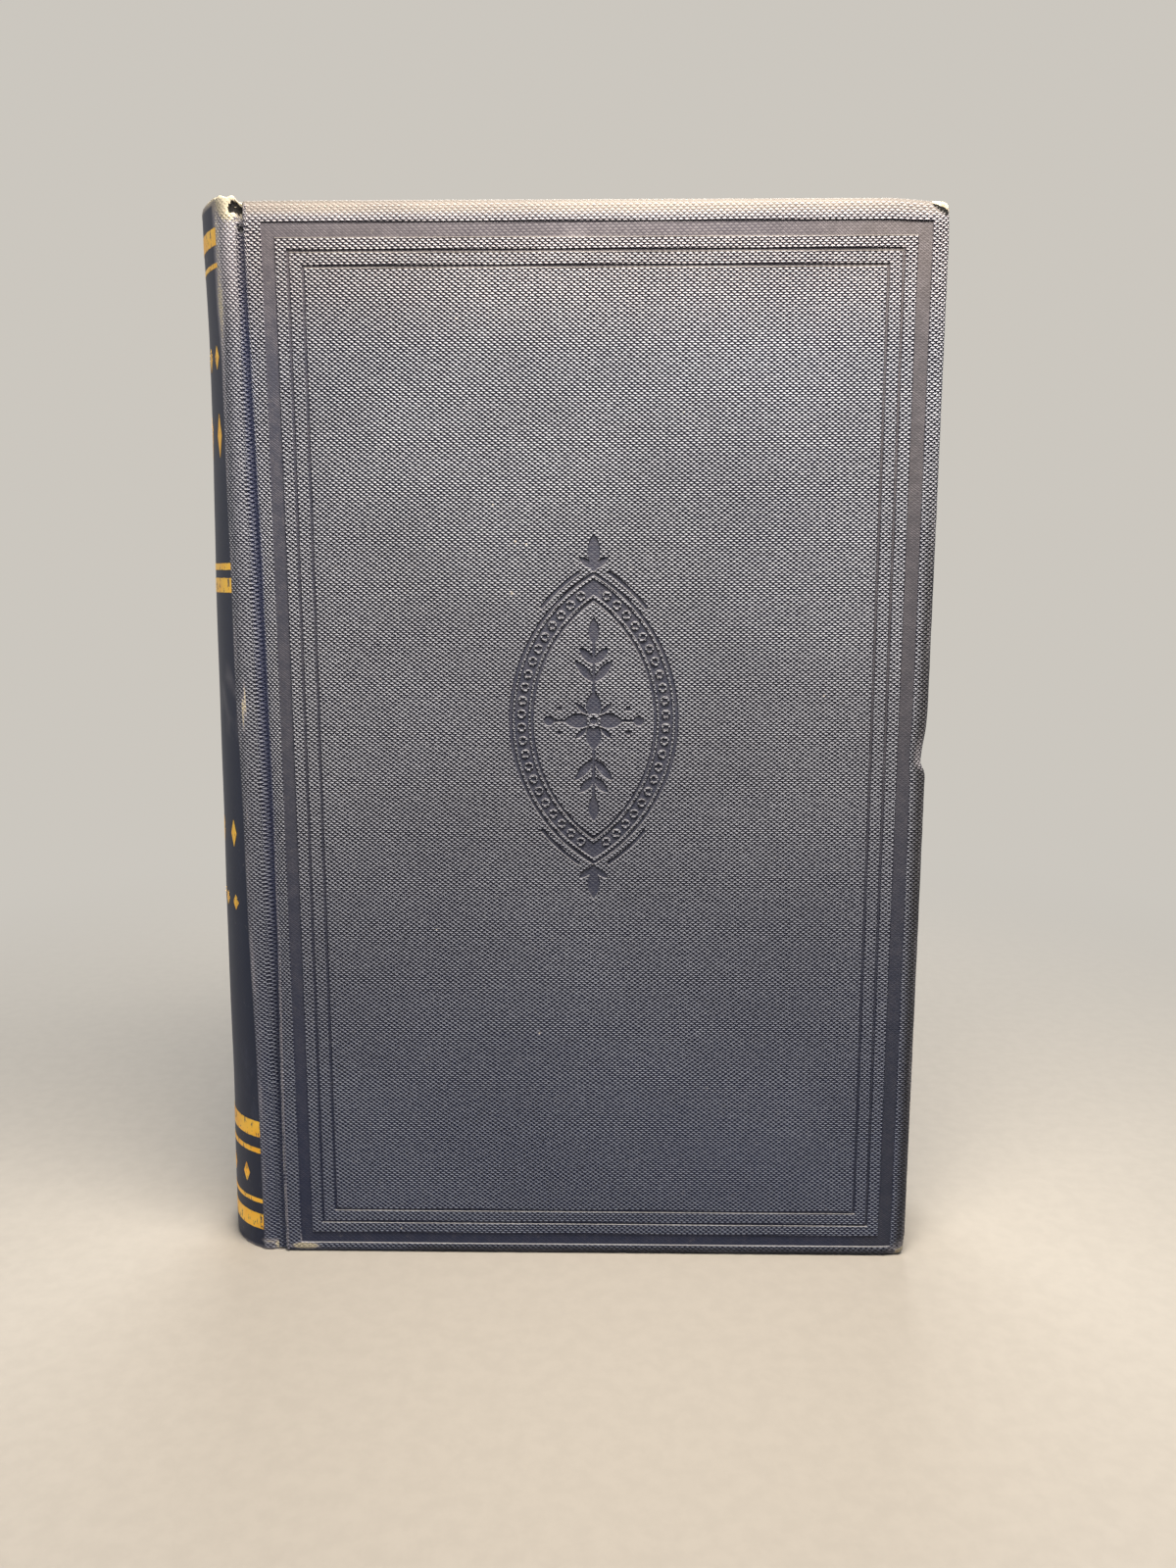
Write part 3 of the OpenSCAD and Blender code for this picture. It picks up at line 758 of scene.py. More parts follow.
def fill_groove(x, level, z):
    """Near the tail the cloth has sprung out of the front groove."""
    fill = np.interp(z, (0, 12, 28, 45), (1.0, 0.95, 0.45, 0.0))
    near = smooth((-61.8 - x) / 0.8) * smooth((x + 65.9) / 1.2)
    top = FACE_Y - 0.5
    return level + fill * near * np.clip((top - level) / (top - GROOVE_Y), 0, 1)


def groove_blue(gap, z):
    """The cloth's first blue along the groove, lost towards the tail; gap is the distance from the groove."""
    return smooth(1 - gap / 1.5) * np.interp(z, (0, 50, 85, 130, 200, 220), (0.0, 0.15, 0.7, 1.0, 1.0, 0.4))


def shape_cover(x, level, z, front):
    """The small dents, bumped corners and waves that use has given a cover."""
    outer = smooth((level - 17.4) / 1.4)
    seed = 1.0 if front else 7.0
    x_edge, z_tail, z_head = FORE_X - x, z, HEIGHT - z
    y = level + outer * 0.07 * wave(x, 0, z, 34, seed)
    if front:
        knock = inside_dent(z)
        x -= 1.0 * knock * smooth(1 - x_edge / 5.5)
        y -= 0.4 * outer * knock * smooth(1 - x_edge / 4.2)
    for z_edge, sign, push in ((z_tail, 1, 0.75), (z_head, -1, 0.55 if front else 0.8)):
        near = smooth(1 - math.hypot(x_edge, z_edge) / 6.0)
        x -= push * near * 0.4
        z += sign * push * near * 0.3
        y -= 0.5 * outer * near
    x += 0.4 * smooth((x - 70) / 6)
    z += (0.5 - (0.55 * smooth((x - 66) / 9) if front else 0.0)) * smooth((z - 221) / 5)
    x = follow_groove(x, y, z)[0]
    rough = 0.06 * smooth(1 - min(x_edge, z_tail, z_head) / 1.5)
    x += rough * wave(x, level, z, 2.2, seed)
    z += rough * wave(x, level, z, 2.6, seed + 2)
    return x, fill_groove(x, y, z) if front and y > GROOVE_Y - 0.01 else y, z


# Chipped specks on the front cover: x, z, size
FRONT_SPECKS = (
    (-4.5, 53.2, 0.27), (-9.8, 150.3, 0.33), (-6.6, 160.4, 0.21), (-8.9, 160.9, 0.26), (-13.5, 168.5, 0.2),
    (47.0, 93.5, 0.16), (26.0, 187.0, 0.16), (-27.0, 77.0, 0.16),
    (56.5, 128.7, 0.2), (-38.0, 132.0, 0.14), (33.0, 40.5, 0.16), (-20.5, 205.5, 0.2), (-36.5, 6.0, 0.2),
)
RUBBED_SPOT = (16.4, 125.2, 0.75)


def corner_tear(x, z):
    """The front cover's upper corner: how far the cloth has gone, and the slit under the bare board, painted
    near-black as its shade.
    """
    x_edge, z_edge = FORE_X - x, HEIGHT - z
    share = (3.6 - x_edge) / 3.2
    line = 0.75 + 1.55 * share + 0.15 * wave(x, 0, 0, 0.9, 3)
    ends = smooth(6 * (1.12 - share)) * smooth(6 * (share + 0.1))
    bare = ends * smooth((line - z_edge) / 0.3 + 0.4)
    slit = ends * smooth(1.9 - abs(z_edge - line) / (0.17 + 0.36 * max(share, 0)))
    return bare, slit


def cover_wear(x, level, z, front):
    """How far the cloth is worn through, from 0 to 1."""
    x_edge, z_head = FORE_X - x, HEIGHT - z
    outside, on_face = level > BOARD_FACE, level > CLOTH_FACE
    rim = smooth(1 - abs(math.hypot(max(min(x_edge, z, z_head), 0), FACE_Y - level) - 0.55) / 0.9)
    head = 0.31 - (0.09 * smooth((x - 52) / 16) if front else 0.0)
    found = [0.16 * rim * (0.6 + 0.6 * wave(x, 0, z, 9, 4)),
             head * smooth(1.3 - z_head / 5.0) * (0.85 + 0.35 * wave(x, 0, z, 14, 6))]
    for z_edge in (z, z_head):
        gap = math.hypot(max(x_edge - 0.4, 0), max(z_edge - 0.4, 0))
        found.append(0.95 * smooth(1.25 - gap / (1.5 if outside else 1.0)))
    if not front:
        found.append(0.8 * smooth(1.3 - math.hypot(x - JOINT_X - 2, z - HEIGHT + 0.3) / 1.4))
        return max(found)
    tail_spot = math.hypot((x - (JOINT_X + 4.6)) / 2.9, (z - 1.5) / 0.8)
    tip = math.hypot(max(x_edge - 0.3, 0), max(z - 0.5, 0))
    line = np.interp(z, (0, 10, 60, 95, 105), (0.48, 0.45, 0.40, 0.3, 0.0))
    spot_x, spot_z, spot_size = RUBBED_SPOT
    found += [
        0.95 * smooth(1.5 - tail_spot),
        corner_tear(x, z)[0] * outside,
        0.34 * inside_dent(z) * smooth(1.2 - x_edge / 2.5),
        0.95 * smooth(1.3 - tip / 1.9),
        0.5 * smooth(1.3 - tip / 4.0) * smooth(0.6 + wave(x, 0, z, 1.1, 5)),
        line * smooth(1.4 - abs(x - JOINT_X - 0.32) / 0.24) * smooth(0.75 + wave(0, 0, z, 3.2, 8)),
        0.3 * smooth(1.6 - math.hypot(x - spot_x, z - spot_z) / spot_size) * on_face,
    ]
    found += [0.6 * smooth(1.6 - math.hypot(x - sx, z - sz) / size) * on_face for sx, sz, size in FRONT_SPECKS]
    return max(found)


def face_points(front):
    """Free points on a cover's flat face, closer together where it is worn or dented."""
    step = 2.6
    low_x, low_z = JOINT_X + 2.0, 2.9
    for i in range(int((FORE_X - 2.6 - low_x) / step) + 1):
        for k in range(int((HEIGHT - 2.9 - low_z) / step) + 1):
            x = low_x + i * step + (0.5 * step if k % 2 else 0)
            if x < FORE_X - 2.2:
                yield x, low_z + k * step
    if not front:
        return
    for sx, sz, size in FRONT_SPECKS:
        for share in (0.0, 0.6, 1.0, 1.6):
            for turn in range(8 if share else 1):
                c, s = cos_sin(45 * turn + 20)
                reach = size * share * (1 + 0.25 * math.sin(3 * turn + sx))
                yield sx + reach * c, sz + reach * s
    for i in range(9):
        for k in range(4):
            yield FORE_X - 1.8 - 0.3 * i, HEIGHT - 1.8 - 0.3 * k
            yield FORE_X - 1.8 - 0.35 * i, 1.8 + 0.45 * k
            yield JOINT_X + 1.3 + 0.7 * i, 1.75 + 0.3 * k
    for k in range(60):
        for reach in (2.2, 3.0, 3.9, 4.9):
            yield FORE_X - reach, 106 + 0.42 * k + 0.1 * reach


def face_mesh(boundary, shapes, front):
    """Triangulates a cover's flat face with every stamped outline in it."""
    points, edges = [], []
    outlines = [line for s in shapes for inset in (-STAMP_LIP, STAMP_WALL) for line in s.outlines(inset)]
    for line in [boundary] + [line for line in outlines if len(line) > 2]:
        first, count = len(points), len(line)
        points.extend((float(a), float(b)) for a, b in line)
        edges.extend((first + k, first + (k + 1) % count) for k in range(count))
    points.extend(face_points(front))
    result = geometry.delaunay_2d_cdt(
        [Vector(p) for p in points], edges, [list(range(len(boundary)))], 1, 1e-5
    )
    found, faces, origins = result[0], result[2], result[3]
    flat = np.array([(v.x, v.y) for v in found])
    depth = np.max([shape.depth(flat) for shape in shapes], 0)
    sunk = smooth((depth + STAMP_LIP + 1e-4) / (STAMP_WALL + STAMP_LIP))
    match = {source: index for index, sources in enumerate(origins) for source in sources if source < len(boundary)}
    return flat, sunk, [list(f) for f in faces], match


def build_cover(side):
    """The cloth over one board: one closed skin with stamping, turned-in edges and wear."""
    front = side == "front"
    sections = cover_rings()
    rings = [ring_loop(free, joint) for free, joint in sections]
    count = len(rings[0])
    shapes = frame_shapes() + (ornament_shapes() if front else [])
    flat, sunk, faces, match = face_mesh([(p[0], p[2]) for p in rings[0]], shapes, front)
    raw = [(x, FACE_Y - STAMP_DEPTH * s, z) for (x, z), s in zip(flat, sunk)]
    uv = [(x, z) for x, z in flat]
    ids = [[match[k] for k in range(count)]]
    run_free = run_joint = 0.0
    for (a, b), (c, d), ring in zip(sections, sections[1:], rings[1:]):
        run_free += math.hypot(a[0] - c[0], a[1] - c[1])
        run_joint += math.hypot(b[0] - d[0], b[1] - d[1])
        ids.append(list(range(len(raw), len(raw) + count)))
        for (x, y, z, nx, nz), (x0, _, z0, *_) in zip(ring, rings[0]):
            reach = run_joint if nx < -0.5 else run_free
            raw.append((x, y, z))
            uv.append((x0 + nx * reach, z0 + nz * reach))
    for above, below in zip(ids, ids[1:]):
        for k in range(count):
            n = (k + 1) % count
            faces.append([above[k], above[n], below[n], below[k]])
    faces.append(ids[-1][::-1])
    looks = {"stamp": list(sunk) + [0.0] * (len(raw) - len(sunk)), "wear": [], "fresh": [], "hole": []}
    verts = []
    for x, level, z in raw:
        looks["wear"].append(cover_wear(x, level, z, front))
        looks["fresh"].append(groove_blue(x - JOINT_X + 0.3 if x < -59 else 9.0, z))
        # The slit under the torn corner, painted dark as its shade
        looks["hole"].append(corner_tear(x, z)[1] if front and level > BOARD_FACE else 0.0)
        x, level, z = shape_cover(x, level, z, front)
        verts.append((x, -level if front else level, z))
    if not front:
        uv = [(-u, v) for u, v in uv]
    made = make_object(f"{side}_cover_cloth", verts, faces, CLOTH_MAT, 28, uv, looks)
    stand_for(made, f"{side}_cloth", f"{side}_cover")


for cover_side in SIDES:
    build_cover(cover_side)


# ---------------------------------------------------------------- spine
HEAD_RISE = 1.9
LEAN_X, LEAN_Y = 1.0, 1.8
SLIP = 0.75
LEAN_FROM, LEAN_OVER = -64.0, 14.4
# The smooth panel between the ridges is pressed in by this much, within this angle
PANEL_SINK = 0.12
PANEL_EDGE = 56.7
# Where the cloth of the spine and of the joints lies on the UV map
SPINE_U, JOINT_U = -65.8, -62.6


def lean(x, y, z, loose=False):
    """The case's back has slipped over: towards the back cover at the head, the front one at the tail.
    What lies loose on the hollow back is also pressed in below the head, which flares out."""
    w = smooth((LEAN_FROM - x) / LEAN_OVER)
    t = 2 * z / HEIGHT - 1
    pinch = np.interp(z, (110, 155, 178, 203, 222, 228), (0.0, 0.0, 0.4, 0.45, -0.15, -0.25)) if loose else 0.0
    return x + (LEAN_X * t + SLIP + pinch) * w, y + LEAN_Y * t * w, z


def head_rise(z):
    """How far the torn head cap has been pulled up."""
    return HEAD_RISE * smooth((z - 190) / 36)


def lump(x, y, z):
    """The slow unevenness of the cloth round the spine."""
    return 0.22 * wave(x * 0.6, y, z, 26, 1.0 if y < 0 else 5.0)


def panel_turn(z):
    """Degrees by which the smooth panel has turned towards the back cover, with the slipped back."""
    return np.interp(z, (0, 47, 74, 101, 126, 155, 178, 222), (-2.0, -1.8, 0.0, 1.0, 3.0, 3.7, 4.8, 5.0))


def spine_profile():
    """Stations round the spine from the front groove to the back one: point, outward direction, run."""
    half = [(x, GROOVE_Y, 0.0, 1.0) for x in (-63.75, -64.05)]
    begin = math.degrees(math.asin((GROOVE_Y - RIDGE_Y) / RIDGE_R))
    end = 180 - PANEL_ANGLE
    for k in range(23):
        c, s = cos_sin(begin + (end - begin) * k / 22)
        half.append((RIDGE_X + RIDGE_R * c, RIDGE_Y + RIDGE_R * s, c, s))
    for angle in (*np.arange(56.9, 49.0, -0.7), *np.arange(46, 0, -4)):
        c, s = cos_sin(angle)
        half.append((ARC_X - SPINE_R * c, SPINE_R * s, -c, s))
    whole = [(x, -y, nx, -ny) for x, y, nx, ny in half] + [(ARC_X - SPINE_R, 0.0, -1.0, 0.0)] + half[::-1]
    steps = [math.hypot(b[0] - a[0], b[1] - a[1]) for a, b in zip(whole, whole[1:])]
    return [(*station, run) for station, run in zip(whole, np.cumsum([0.0, *steps]))]


def spine_angle(x, y):
    return math.degrees(math.atan2(abs(y), ARC_X - x))


def folded_path(thick, middle):
    """Rows of cloth folded in at tail and head: depth and height of its outer face, then of its inner one."""
    r = thick / 2
    tail = [(thick, z, thick - CLOTH, z) for z in (TURN_IN, 11.0, 7.0, 3.5, 1.8)]
    for k in range(9):
        c, s = cos_sin(22.5 * k)
        tail.append((r + r * c, r - r * s, r + (r - CLOTH) * c, r - (r - CLOTH) * s))
    head = [(d, HEIGHT - z, d2, HEIGHT - z2) for d, z, d2, z2 in tail[::-1]]
    return tail + [(0.0, z, CLOTH, z) for z in middle] + head


# Front ridge: place across the ridge from the groove, height, half sizes, strength
RIDGE_SCUFFS = (
    (4.2, 127.5, 0.22, 2.2, 0.9), (4.75, 125.2, 0.5, 1.1, 1.0), (4.9, 122.8, 0.28, 0.5, 0.8),
    (5.0, 101.5, 0.25, 0.6, 0.7), (4.6, 91.3, 0.22, 0.4, 0.6), (2.4, 46.7, 0.45, 0.75, 1.0),
    (1.2, 1.0, 1.4, 0.9, 0.8), (2.8, 2.0, 2.8, 0.7, 0.5), (0.6, 13.5, 1.4, 0.5, 0.5), (3.0, 176.0, 0.4, 1.0, 0.3),
)


def crater(across, x, y, z):
    """The hole rubbed through the front ridge below its head, its inside painted near-black as shade."""
    tilt = 0.35 * (across - 1.6)
    gap = math.hypot((across - 1.6 - 0.3 * wave(x, y, z, 1.3, 6)) / 1.45, (z - HEIGHT + 1.7 + tilt) / 1.0)
    below = math.hypot((across - 0.9) / 0.8, (z - HEIGHT + 4.6) / 0.8)
    return max(smooth((1.35 - gap) / 0.5), 0.5 * smooth((1.35 - below) / 0.5))


def spine_wear(x, y, z, across, gap, panel, fray, front):
    """How far the outer cloth is worn through, which along the front ridge and the panel's edge also paints a
    highlight; gap is the distance from the smooth panel's front edge.
    """
    # Along the ridge's top: rubbed, and partly painted highlight on its rounding
    ridge = 0.10 * (1 - panel) * smooth(1 - abs(across - 4.6) / 2.4)
    found = [end_wear(x, y, z) + ridge]
    if not front:
        found.append(0.5 * smooth(1.4 - math.hypot((across - 4) / 3, (z - HEIGHT) / 4)))
        return max(found)
    wide = 1.5 + 1.1 * smooth((z - 195) / 15)
    # Towards the head beside the panel's edge: a lilac-white rub that is partly painted highlight
    lilac = smooth((z - 165) / 40) * smooth(1 - (gap - 0.3 * (wide - 1.5)) / wide)
    top = smooth((z - 192) / 34) * (1 - panel)
    found += [
        fray * (0.95 + 0.3 * wave(x, y, z, 2.0, 4)),
        0.5 * lilac * (1 + 0.6 * wave(x, y, z, 8, 3)),
        0.26 * smooth(1 - gap / 1.2) * smooth(wave(x, y, z, 14, 7) + 0.5),
        0.24 * panel * smooth(1 - abs(z - 127) / 14) * smooth(0.4 + wave(x, y * 2, z, 5, 12)),
        0.34 * top * (0.9 + 0.5 * wave(x, y, z, 5, 13)),
    ]
    for a, b, half_a, half_b, strength in RIDGE_SCUFFS:
        found.append(strength * smooth(1.5 - math.hypot((across - a) / half_a, (z - b) / half_b)))
    return max(found)


def end_wear(x, y, z):
    """Wear of the spine's cloth along its head and tail."""
    return (0.75 * smooth((z - 226.2) / 1.6) + 0.45 * smooth((1.0 - z) / 0.9)) * (0.8 + 0.5 * wave(x, y, z, 6, 2))


def note(looks, **values):
    for key, value in values.items():
        looks[key].append(value)


def build_spine_cloth():
    """The cloth round the spine: one sheet from groove to groove, folded in at head and tail."""
    profile = spine_profile()
    middle = [1.2, 2.0, 3.0, 4.2, *np.arange(6, 222, 3.0), *np.arange(221.5, 227.4, 0.55)]
    total = profile[-1][4]
    edge = min(run for x, y, _, _, run in profile if spine_angle(x, y) < PANEL_EDGE and x < RIDGE_X)
    per_degree = math.radians(1) * SPINE_R
    paths = [folded_path(0.9 + 0.5 * smooth((56.0 - spine_angle(x, y)) / 3.0), middle) for x, y, *_ in profile]
    rows = len(paths[0])
    verts, uv, looks = [], [], defaultdict(list)
    for shell in (0, 2):
        for row in range(rows):
            for (x, y, nx, ny, run), path in zip(profile, paths):
                od, oz = path[row][:2]
                d, z = path[row][shell:shell + 2]
                front, outside = y < 0, od < 0.6
                across = run if front else total - run
                turn = panel_turn(z) * per_degree
                panel = smooth((run - edge - turn) / 0.3 + 0.5)
                panel *= smooth((total - run - edge + max(turn, 0) * 0.3) / 0.3 + 0.5)
                seed = 1.0 if front else 5.0
                d += PANEL_SINK * panel * (od < 0.2) - lump(x, y, z) * smooth((-66 - x) / 4)
                px, py, pz = x - nx * d, y - ny * d, z
                rim = smooth((z - 225.6) / 2.0) + smooth((1.6 - z) / 1.6)
                rough = 0.18 * rim * wave(px, py, z, 1.7, seed + 3)
                px, py = px - nx * rough, py - ny * rough
                pz += head_rise(z) * (0.55 * smooth((-64.2 - x) / 1.2) + 0.45 * smooth((-66 - x) / 6))
                head = smooth((z - 219.5) / 8.5)
                pz += 0.35 * head * wave(px, py, 0, 4.5, seed)
                fray = sunk = 0.0
                if front:
                    fray = smooth(1.6 - math.hypot((across - 3.2) / 3.4, (z - HEIGHT) / 4.0))
                    pz += 0.35 * fray * head * (0.4 + 1.2 * wave(px, py, z, 1.6, 8))
                    sunk = crater(across, x, y, z)
                    px, py = px - nx * sunk * 0.55, py - 0.5 * fray * head - ny * sunk * 0.55
                px, py, pz = lean(px, py, pz, True)
                if front:
                    py = -fill_groove(px, -py, z)
                verts.append((px, py, pz))
                uv.append((SPINE_U - run, oz + (od if z > 100 else -od)))
                if outside:
                    worn = spine_wear(px, py, z, across, abs(run - edge - turn + 0.6), panel, fray, front)
                else:
                    worn = end_wear(px, py, z)
                pressed = panel if od < 0.2 or z > 220 or z < 8 else 0.3
                note(
                    looks, stamp=pressed, wear=min(max(worn, 0.0), 1.0),
                    hole=smooth(1.6 * sunk - 0.25 + 0.5 * wave(px, py, z, 0.8, 9)) if sunk else 0.0,
                    fresh=groove_blue(across, z) if outside else 0.0, panel=pressed, soft=1 - panel,
                )
    faces = sheet_faces(rows, len(profile))
    made = make_object("spine_cover_cloth", verts, faces, CLOTH_MAT, 50, uv, looks)
    stand_for(made, "spine_cloth", "book_block")


build_spine_cloth()


# ---------------------------------------------------------------- gilding
# Heights and sizes of the pressed bands and rows of lozenges, as in the CAD model
TAIL_BANDS = ((4.8, 8.5), (11.2, 12.2), (23.4, 24.6), (27.3, 31.1))
HEAD_BANDS = ((9.0, 5.7), (13.1, 12.2), (72.9, 71.5), (77.7, 74.6))
LOZENGES = ((17.8, 4.6, 5), (81.8, 3.4, 7), (97.5, 6.0, 5), (HEIGHT - 45, 9.0, 5), (HEIGHT - 29.4, 4.6, 7))
LOZENGE_WIDTH = 2.6
LOZENGE_SPREAD = 86
GILT_ANGLE = 56.0
GILT_STEPS = 112
FOIL_FACES = (0.045, -0.03)


def gilt_point(angle, z, lift):
    """A point of the foil on the spine, from its angle round the back and its height."""
    c, s = cos_sin(angle)
    r = SPINE_R - PANEL_SINK + lift + lump(ARC_X - SPINE_R * c, SPINE_R * s, z)
    return lean(ARC_X - r * c, r * s, z + head_rise(z), True)


def build_gilding():
    verts, faces = [], []

    def patch(rows):
        """A thin closed foil from rows of (angle, z)."""
        first = len(verts)
        for lift in FOIL_FACES:
            verts.extend(gilt_point(a, z, lift) for row in rows for a, z in row)
        faces.extend(tuple(first + v for v in f) for f in sheet_faces(len(rows), len(rows[0])))

    for low, high in (*TAIL_BANDS, *((HEIGHT - a, HEIGHT - b) for a, b in HEAD_BANDS)):
        rows = []
        for k in range(5):
            z = low + (high - low) * k / 4
            start = -GILT_ANGLE + panel_turn(z)
            angles = [start + (GILT_ANGLE - start) * j / GILT_STEPS for j in range(GILT_STEPS + 1)]
            ragged = 0.09 if k in (0, 4) else 0.0
            rows.append([(a, z + ragged * wave(a * 0.36, z, 0, 0.9, 3)) for a in angles])
        patch(rows)
    half_width = math.degrees(LOZENGE_WIDTH / 2 / SPINE_R)
    for height, tall, count in LOZENGES:
        for k in range(count):
            centre = LOZENGE_SPREAD * (k / (count - 1) - 0.5)
            rows = []
            for t in np.linspace(-1, 1, 9):
                reach = max(0.03, 1 - abs(t)) * half_width
                rows.append([(centre + reach * share, height + t * tall / 2) for share in (-1, -0.5, 0, 0.5, 1)])
            patch(rows)
    stand_for(make_object("spine_gilt", verts, faces, GOLD_MAT, 40), "spine_gilding", "book_block")


build_gilding()


# ---------------------------------------------------------------- cloth and paper across the joints
# Lines of (x, level) across a joint
JOINT_CLOTH = (
    (-65.15, 17.72), (-64.7, 17.42), (-64.2, 17.12), (-63.8, 17.08), (-63.5, 17.3), (-63.3, 17.95),
    (-63.25, 18.55), (-63.0, 18.93), (-62.6, 19.06),
)
JOINT_PAPER = [
    (x, 19.85 - math.sqrt(4.62**2 - (x + 61.926) ** 2) + 0.16 * (k / 6) ** 2)
    for k, x in enumerate(-65.35 + 2.9 * k / 6 for k in range(7))
]


def strip_section(points, steps=3):
    """Smooths a line of (x, level) through its points, and gives its normals and run."""
    ends = np.array([points[0], *points, points[-1]])
    line = []
    for p0, p1, p2, p3 in zip(ends, ends[1:], ends[2:], ends[3:]):
        for t in (j / steps for j in range(steps)):
            line.append(0.5 * (2 * p1 + (p2 - p0) * t + (2 * p0 - 5 * p1 + 4 * p2 - p3) * t * t
                               + (3 * p1 - p0 - 3 * p2 + p3) * t**3))
    line.append(ends[-1])
    made, run = [], 0.0
    for k, (x, y) in enumerate(line):
        (ax, ay), (bx, by) = line[max(k - 1, 0)], line[min(k + 1, len(line) - 1)]
        size = math.hypot(bx - ax, by - ay)
        run += math.hypot(x - ax, y - ay)
        made.append((x, y, (ay - by) / size, (bx - ax) / size, run))
    return made


def build_strip(side, name, points, thick, z0, z1, material, slot):
    """A sheet across one joint, from the block to the cover."""
    cloth, front = slot == "book_cloth", side == "front"
    sign = -1 if front else 1
    section = strip_section(points)
    crease, width = min(section, key=lambda p: p[1])[4], section[-1][4]
    heights = [z0, z0 + 0.4, z0 + 1.0, z0 + 2.0, *np.arange(z0 + 4, z1 - 6, 3.0), *np.linspace(z1 - 6, z1, 13)]
    verts, uv, looks = [], [], defaultdict(list)
    for shell in (0, 1):
        for z in heights:
            for x, y, nx, ny, run in section:
                px, py = x - nx * thick * shell, y - ny * thick * shell
                worn = hole = 0.0
                if cloth:
                    px += joint_shift(z) * smooth(run / crease)
                if cloth and front:
                    hole = crater(1.7 - run, x, y, z)
                    py = fill_groove(px, py - 0.5 * hole, z)
                    share = run / width
                    worn = max(
                        0.9 * smooth((13 - z) / 3) * smooth(1 - abs(share - 0.62) / 0.2),
                        0.7 * smooth((z - 222) / 5) * smooth(1 - share),
                        0.3 * smooth((95 - z) / 40) * smooth(1.2 - abs(share - 0.92) / 0.15),
                    )
                verts.append((px, sign * (py + 0.05 * wave(x * 0.2, sign, z, 11, 4)), z))
                uv.append((-sign * (JOINT_U - width + run), z))
                gap = abs(run - crease)
                note(looks, stamp=0.6 * smooth(1.0 - gap / 0.7), wear=worn, fresh=groove_blue(gap * 0.8, z), hole=hole)
    faces = sheet_faces(len(heights), len(section))
    made = make_object(f"{side}_{name}", verts, faces, material, 60, uv, looks)
    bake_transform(made)


for cover_side in SIDES:
    build_strip(
        cover_side, "joint_cloth", JOINT_CLOTH, 0.3, 0.5, HEIGHT - 0.5, CLOTH_MAT, "book_cloth"
    )
    build_strip(
        cover_side, "joint_paper", JOINT_PAPER, 0.12, BLOCK_Z0 + 0.2, BLOCK_Z1 - 0.2, ENDPAPER_MAT,
        "endpaper",
    )


# ---------------------------------------------------------------- pages
def page_level(share, x):
    """Distance from the book's middle plane of a leaf, given as a share of the block's half thickness."""
    x = max(x, TIP_X)
    if x >= FLARE_X:
        return share * BLOCK_HALF
    return share * (BLOCK_HALF + FLARE_R - math.sqrt(max(FLARE_R**2 - (x - FLARE_X) ** 2, 0.0)))


def build_pages():
    """The text block as bundles of leaves, rounded at the back and hollow at the fore-edge."""
    sections, leaves, stations, hollow = 26, 4, 21, 5.5
    bundles, trim, gap = sections * leaves, 0.15, 0.0006
    chord = (hollow**2 + BLOCK_HALF**2) / (2 * hollow)
    maker = random.Random(5)
    shift_z = [maker.uniform(-0.1, 0.1) for _ in range(sections)]
    shift_x = [maker.uniform(-0.12, 0.12) for _ in range(sections)]
    verts, faces = [], []

    def back_x(q):
        x = TIP_X
        for _ in range(12):
            x = ARC_X - math.sqrt(BACK_R**2 - page_level(q, x) ** 2)
        return x

    def fore_x(q):
        return PAGE_X - hollow + chord - math.sqrt(chord**2 - (q * BLOCK_HALF) ** 2)

    for b in range(bundles):
        sec = b // leaves
        loose = b not in (0, bundles - 1)
        top = BLOCK_Z1 - trim + (shift_z[sec] + maker.uniform(-0.07, 0.05) if loose else 0)
        low = BLOCK_Z0 + trim + (shift_z[-1 - sec] * 0.7 + maker.uniform(-0.05, 0.06) if loose else 0)
        out = -trim + (shift_x[sec] + maker.uniform(-0.08, 0.06) if loose else 0)
        first = len(verts)
        for z in (low, top):
            for q in (-1 + 2 * b / bundles + gap, -1 + 2 * (b + 1) / bundles - gap):
                x0, x1 = back_x(q), fore_x(q) + out
                for x in (x0 + (x1 - x0) * share for share in np.linspace(0, 1, stations)):
                    verts.append(lean(x, page_level(q, x), z))
        lines = list(zip(*(range(first + stations * j, first + stations * (j + 1)) for j in range(4))))
        for (a, c, e, g), (a1, c1, e1, g1) in zip(lines, lines[1:]):
            faces += [(a, a1, c1, c), (e, g, g1, e1), (a, e, e1, a1), (c, c1, g1, g)]
        (a, c, e, g), (a1, c1, e1, g1) = lines[0], lines[-1]
        faces += [(a, c, g, e), (a1, e1, g1, c1)]
    stand_for(make_object("page_block", verts, faces, PAGES_MAT, 30), "text_block", "book_block")


build_pages()


# ---------------------------------------------------------------- inner pieces
def moved_copy(node, name, material, body, move, cuts=()):
    """A CAD solid, cut across at many heights so that it can follow the bent cloth."""
    mesh = bpy.data.meshes.new(name)
    work = bmesh.new()
    work.from_mesh(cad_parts[node].data)
    planes = [((0, 0, z * MM), (0, 0, 1)) for z in range(10, 226, 12)] + [((x * MM, 0, 0), (1, 0, 0)) for x in cuts]
    for place, normal in planes:
        parts = work.verts[:] + work.edges[:] + work.faces[:]
        bmesh.ops.bisect_plane(work, geom=parts, plane_co=place, plane_no=normal)
    for vertex in work.verts:
        vertex.co = Vector(move(*(c / MM for c in vertex.co))) * MM
    work.to_mesh(mesh)
    work.free()
    mesh.materials.append(material)
    made = add_object(name, mesh)
    stand_for(made, node, body)


